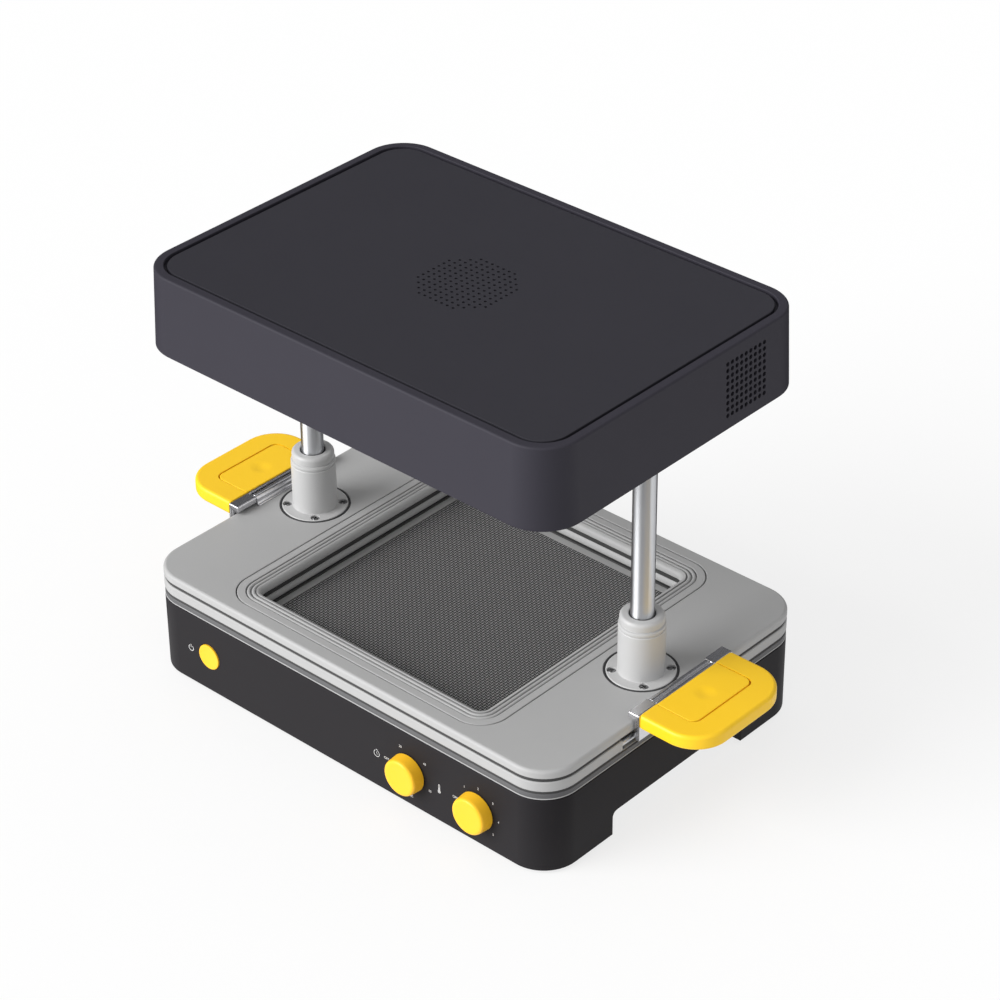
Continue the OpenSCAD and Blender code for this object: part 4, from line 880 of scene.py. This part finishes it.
# Pad: rows rise over a rounded edge, pass over the flat top to a circle, and sink in a round dish whose depth
# at the share q of its radius is dish * (1 + cos(pi q)) / 2
def padShape(g):
    a = np.linspace(0, quarter, 5)
    edge, top = g["padEdge"], g["z"][1]
    inset = np.r_[0, edge * (1 - np.cos(a))]
    height = np.r_[g["recessFloor"], top - edge + edge * np.sin(a)]
    back, front = g["padBack"] + 0 * inset, g["padRadius"] - inset
    radii = np.stack([back, front, front, back], 1)
    low, high, width = g["padX"][0] + inset, g["padX"][1] - inset, g["padHalf"] - inset
    side = filled(planGrid(low, high, -width, width, radii, height, 10), g["padStep"])
    rim = side[-1, :, :2]
    centre = np.array(g["dishAt"], float)
    away = rim - centre
    ring = away / np.linalg.norm(away, axis=1, keepdims=True) * g["dishRadius"]
    t = np.array([0.05, 0.5, 0.95])[:, None, None]
    flat = (1 - t) * rim + t * (centre + ring * 1.1)
    q = np.linspace(1.05, 0.02, 14)[:, None, None]
    rows = np.concatenate([flat, centre + q * ring])
    sink = g["dish"] * (1 + np.cos(np.pi * np.minimum(q, 1))) / 2
    height = np.broadcast_to(np.concatenate([top + 0 * t, top - sink]), rows[..., :1].shape)
    return shell(np.concatenate([side, np.concatenate([rows, height], 2)]))


for word, hand in hands.items():
    piece = addPiece("gripBody_" + word, hand(gripShape(grip)))
    low = (grip["x"][0] - 5, -grip["recessHalf"], grip["recessFloor"])
    high = (grip["recessX"], grip["recessHalf"], grip["z"][1] + 4)
    carve(piece, [hand(block(low, high, grip["recessRadius"], 10))])
    settle(piece, "handle_" + word, "yellow_plastic", ["grip_" + word])
    piece = addPiece("gripPad_" + word, hand(padShape(grip)))
    settle(piece, "handle_" + word, "yellow_pad", ["grip_pad_" + word])
print("handles built")

# Prints: numbers round the dials and plain icons, each a very thin solid

# A word's own mesh, with its doubled points merged
def wordShape(text, size, thick):
    curve = bpy.data.curves.new("word", "FONT")
    curve.body, curve.size, curve.extrude = text, size, thick
    curve.align_x, curve.align_y = "CENTER", "CENTER"
    piece = addObject("word", curve)
    mesh = finalMesh(piece)
    points = np.empty(len(mesh.vertices) * 3)
    mesh.vertices.foreach_get("co", points)
    points, index = np.unique(points.reshape(-1, 3).round(4), axis=0, return_inverse=True)
    faces = [[int(index.ravel()[v]) for v in face.vertices] for face in mesh.polygons]
    bpy.data.objects.remove(piece)
    return points, [face for face in faces if len(set(face)) == len(face)]


# Part of a flat ring between two angles in degrees: outer arc forwards, inner arc back
def arcShape(radius, width, start, end, up, thick):
    a = np.radians(np.linspace(start, end, 40))
    away = np.column_stack([np.cos(a), np.sin(a)])
    outline = np.vstack([away * (radius + width / 2), away[::-1] * (radius - width / 2)])
    return placed(prism(outline, -thick, thick), (0, up, 0))


# A flat bar from one point to another
def barShape(start, end, width, thick):
    start, end = np.array(start, float), np.array(end, float)
    along = (end - start) / np.linalg.norm(end - start)
    across = np.array([along[1], -along[0]]) * width / 2
    return prism(np.array([start + across, end + across, end - across, start - across]), -thick, thick)


def dotShape(radius, thick):
    return rod(radius, -thick, thick, steps=16)


prints = {
    "thick": 0.03, "size": 2.5,
    "marks": [
        ("OFF", 41.8, 28.9), ("20", 54.5, 45.1), ("40", 75.6, 41.5), ("60", 80.0, 22), ("80", 63.5, 9.4),
        ("OFF", 102.0, 28.7), ("1", 110, 41.4), ("2", 121.8, 45.6), ("3", 134.2, 40.5), ("4", 138.9, 27.9),
        ("5", 134.3, 15.6)],
    "clock": (33.0, 28.5, [
        (arcShape, 2.4, 0.35, 118, 442, 0), (barShape, (0, -0.1), (0, 1.3), 0.3),
        (barShape, (-0.1, 0), (0.9, -0.5), 0.3), (barShape, (-0.6, 3.1), (0.6, 3.1), 0.4)]),
    "thermometer": (88.1, 25.9, [
        (arcShape, 1.0, 0.4, -236, 56, 0), (barShape, (-0.56, 0.7), (-0.56, 5.0), 0.35),
        (barShape, (0.56, 0.7), (0.56, 5.0), 0.35), (arcShape, 0.56, 0.35, 0, 180, 5.0),
        (dotShape, 0.5), (barShape, (0, 0.4), (0, 3.2), 0.35)]),
    "power": (-140.9, 29.6, [(arcShape, 2.2, 0.45, 125, 415, 0), (barShape, (0, 0.6), (0, 3.0), 0.45)]),
}


def buildPrints(p):
    thick, icons = p["thick"], (p["clock"], p["thermometer"], p["power"])
    ink = [(wordShape(text, p["size"], thick), x, z) for text, x, z in p["marks"]]
    ink += [(make(*sizes, thick), x, z) for x, z, icon in icons for make, *sizes in icon]
    front = -machine["halfY"] - thick
    shapes = [placed(shape, (x, front, z), "front") for shape, x, z in ink]
    settle(addPiece("frontPrints", joined(shapes)), "base", "print_ink")


buildPrints(prints)
print("prints added")

# Camera at the photograph's view, in millimetres and degrees
view = {
    "place": (1192.84, -1281.84, 1288.91), "azimuth": 42.31, "height": 33.12, "roll": -0.50, "lens": 114.70,
}


def addCamera(v):
    az, el, roll = np.radians([v["azimuth"], v["height"], v["roll"]])
    back = Vector((np.sin(az) * np.cos(el), -np.cos(az) * np.cos(el), np.sin(el)))
    right = Vector((0, 0, 1)).cross(back).normalized()
    up = back.cross(right)
    right, up = right * np.cos(roll) + up * np.sin(roll), up * np.cos(roll) - right * np.sin(roll)
    data = bpy.data.cameras.new("camera")
    data.lens, data.sensor_width, data.clip_end = v["lens"], 36.0, 50.0
    camera = addObject("camera", data)
    turn = Matrix((right, up, back)).transposed().to_4x4()
    camera.matrix_world = Matrix.Translation(Vector(v["place"]) * mm) @ turn
    bpy.context.scene.camera = camera


addCamera(view)
bpy.context.scene.view_settings.view_transform = "Standard"

# Light: an even sky, seen white by camera, gloss and glass, and one broad lamp low at the front left
light = {"sky": 0.6, "sun": 1.15, "spread": 45, "from": (-0.42, -0.80, 0.45)}


def addLight(settings):
    world = bpy.data.worlds.new("sky")
    bpy.context.scene.world = world
    sky = Graph(world)
    seen = sky.maths("MAXIMUM", *sky.rays())
    strength = settings["sky"] + seen * (1 - settings["sky"])
    white = sky.node("ShaderNodeBackground", {}, {"Color": (1, 1, 1, 1), "Strength": strength})["Background"]
    sky.node("ShaderNodeOutputWorld", {}, {"Surface": white})
    data = bpy.data.lights.new("keyLamp", "SUN")
    data.energy, data.angle = settings["sun"] * np.pi, np.radians(settings["spread"])
    lamp = addObject("keyLamp", data)
    lamp.rotation_euler = Vector(settings["from"]).to_track_quat("Z", "Y").to_euler()
    lamp.location = Vector(settings["from"]) * 2


addLight(light)

# Floor: pale paper that the camera sees nearly white, with the object's shadow kept in the lit share
paper = {"colour": (0.9, 0.9, 0.9), "reach": 6000, "seenWhite": 0.75, "mirroredWhite": 0.85}


def paperFinish(p):
    finish = Finish("floorPaper", Roughness=0.9, Specular_IOR_Level=0.1)
    finish.feed("Base Color", finish.blend(finish.noise(40.0), rgba(p["colour"], 0.99), rgba(p["colour"])))
    camera, mirror = finish.rays()
    share = camera * p["seenWhite"] + mirror * p["mirroredWhite"]
    white = finish.node("ShaderNodeEmission", {}, {"Strength": 1.0})["Emission"]
    mixed = finish.node("ShaderNodeMixShader", {}, {0: share, 1: finish.surface, 2: white})["Shader"]
    return finish.done(mixed)


r = paper["reach"]
floor = addPiece("floor", (np.array([(-r, -r, 0), (r, -r, 0), (r, r, 0), (-r, r, 0)], float), [[0, 1, 2, 3]]))
floor.data.materials.append(paperFinish(paper))

# Studio cards that only reflections see. A backdrop behind the machine is a strip of an upright cylinder,
# point(a) = far * (cos a, sin a), and sheets on the floor are parts of a flat ring from near to far
cards = {
    "backdrop": {"colour": (0.12, 0.12, 0.125), "turn": (40, 208), "near": 3000, "far": 3000, "high": 4200},
    "darkSheet": {"colour": (0.03, 0.03, 0.032), "turn": (57, 207), "near": 240, "far": 2500, "high": 1},
    "greySheet": {"colour": (0.2, 0.2, 0.205), "turn": (-64, 2), "near": 240, "far": 2500, "high": 1},
}


def addCard(name, c):
    a = np.radians(np.linspace(*c["turn"], 24))
    arc = np.column_stack([np.cos(a), np.sin(a), 0 * a])
    inner, outer = arc * c["near"] + [0, 0, c["high"]], arc * c["far"] + [0, 0, 1]
    points = np.stack([inner[:-1], outer[:-1], outer[1:], inner[1:]], 1).reshape(-1, 3)
    card = addPiece(name, (points, np.arange(len(points)).reshape(-1, 4).tolist()))
    card.data.materials.append(grained(name + "Paper", c["colour"], 0.9, depth=0.0, Specular_IOR_Level=0.0))
    card.visible_camera = card.visible_diffuse = card.visible_transmission = False
    card.visible_volume_scatter = card.visible_shadow = False


for name, card in cards.items():
    addCard(name, card)
print("camera, light and floor set")
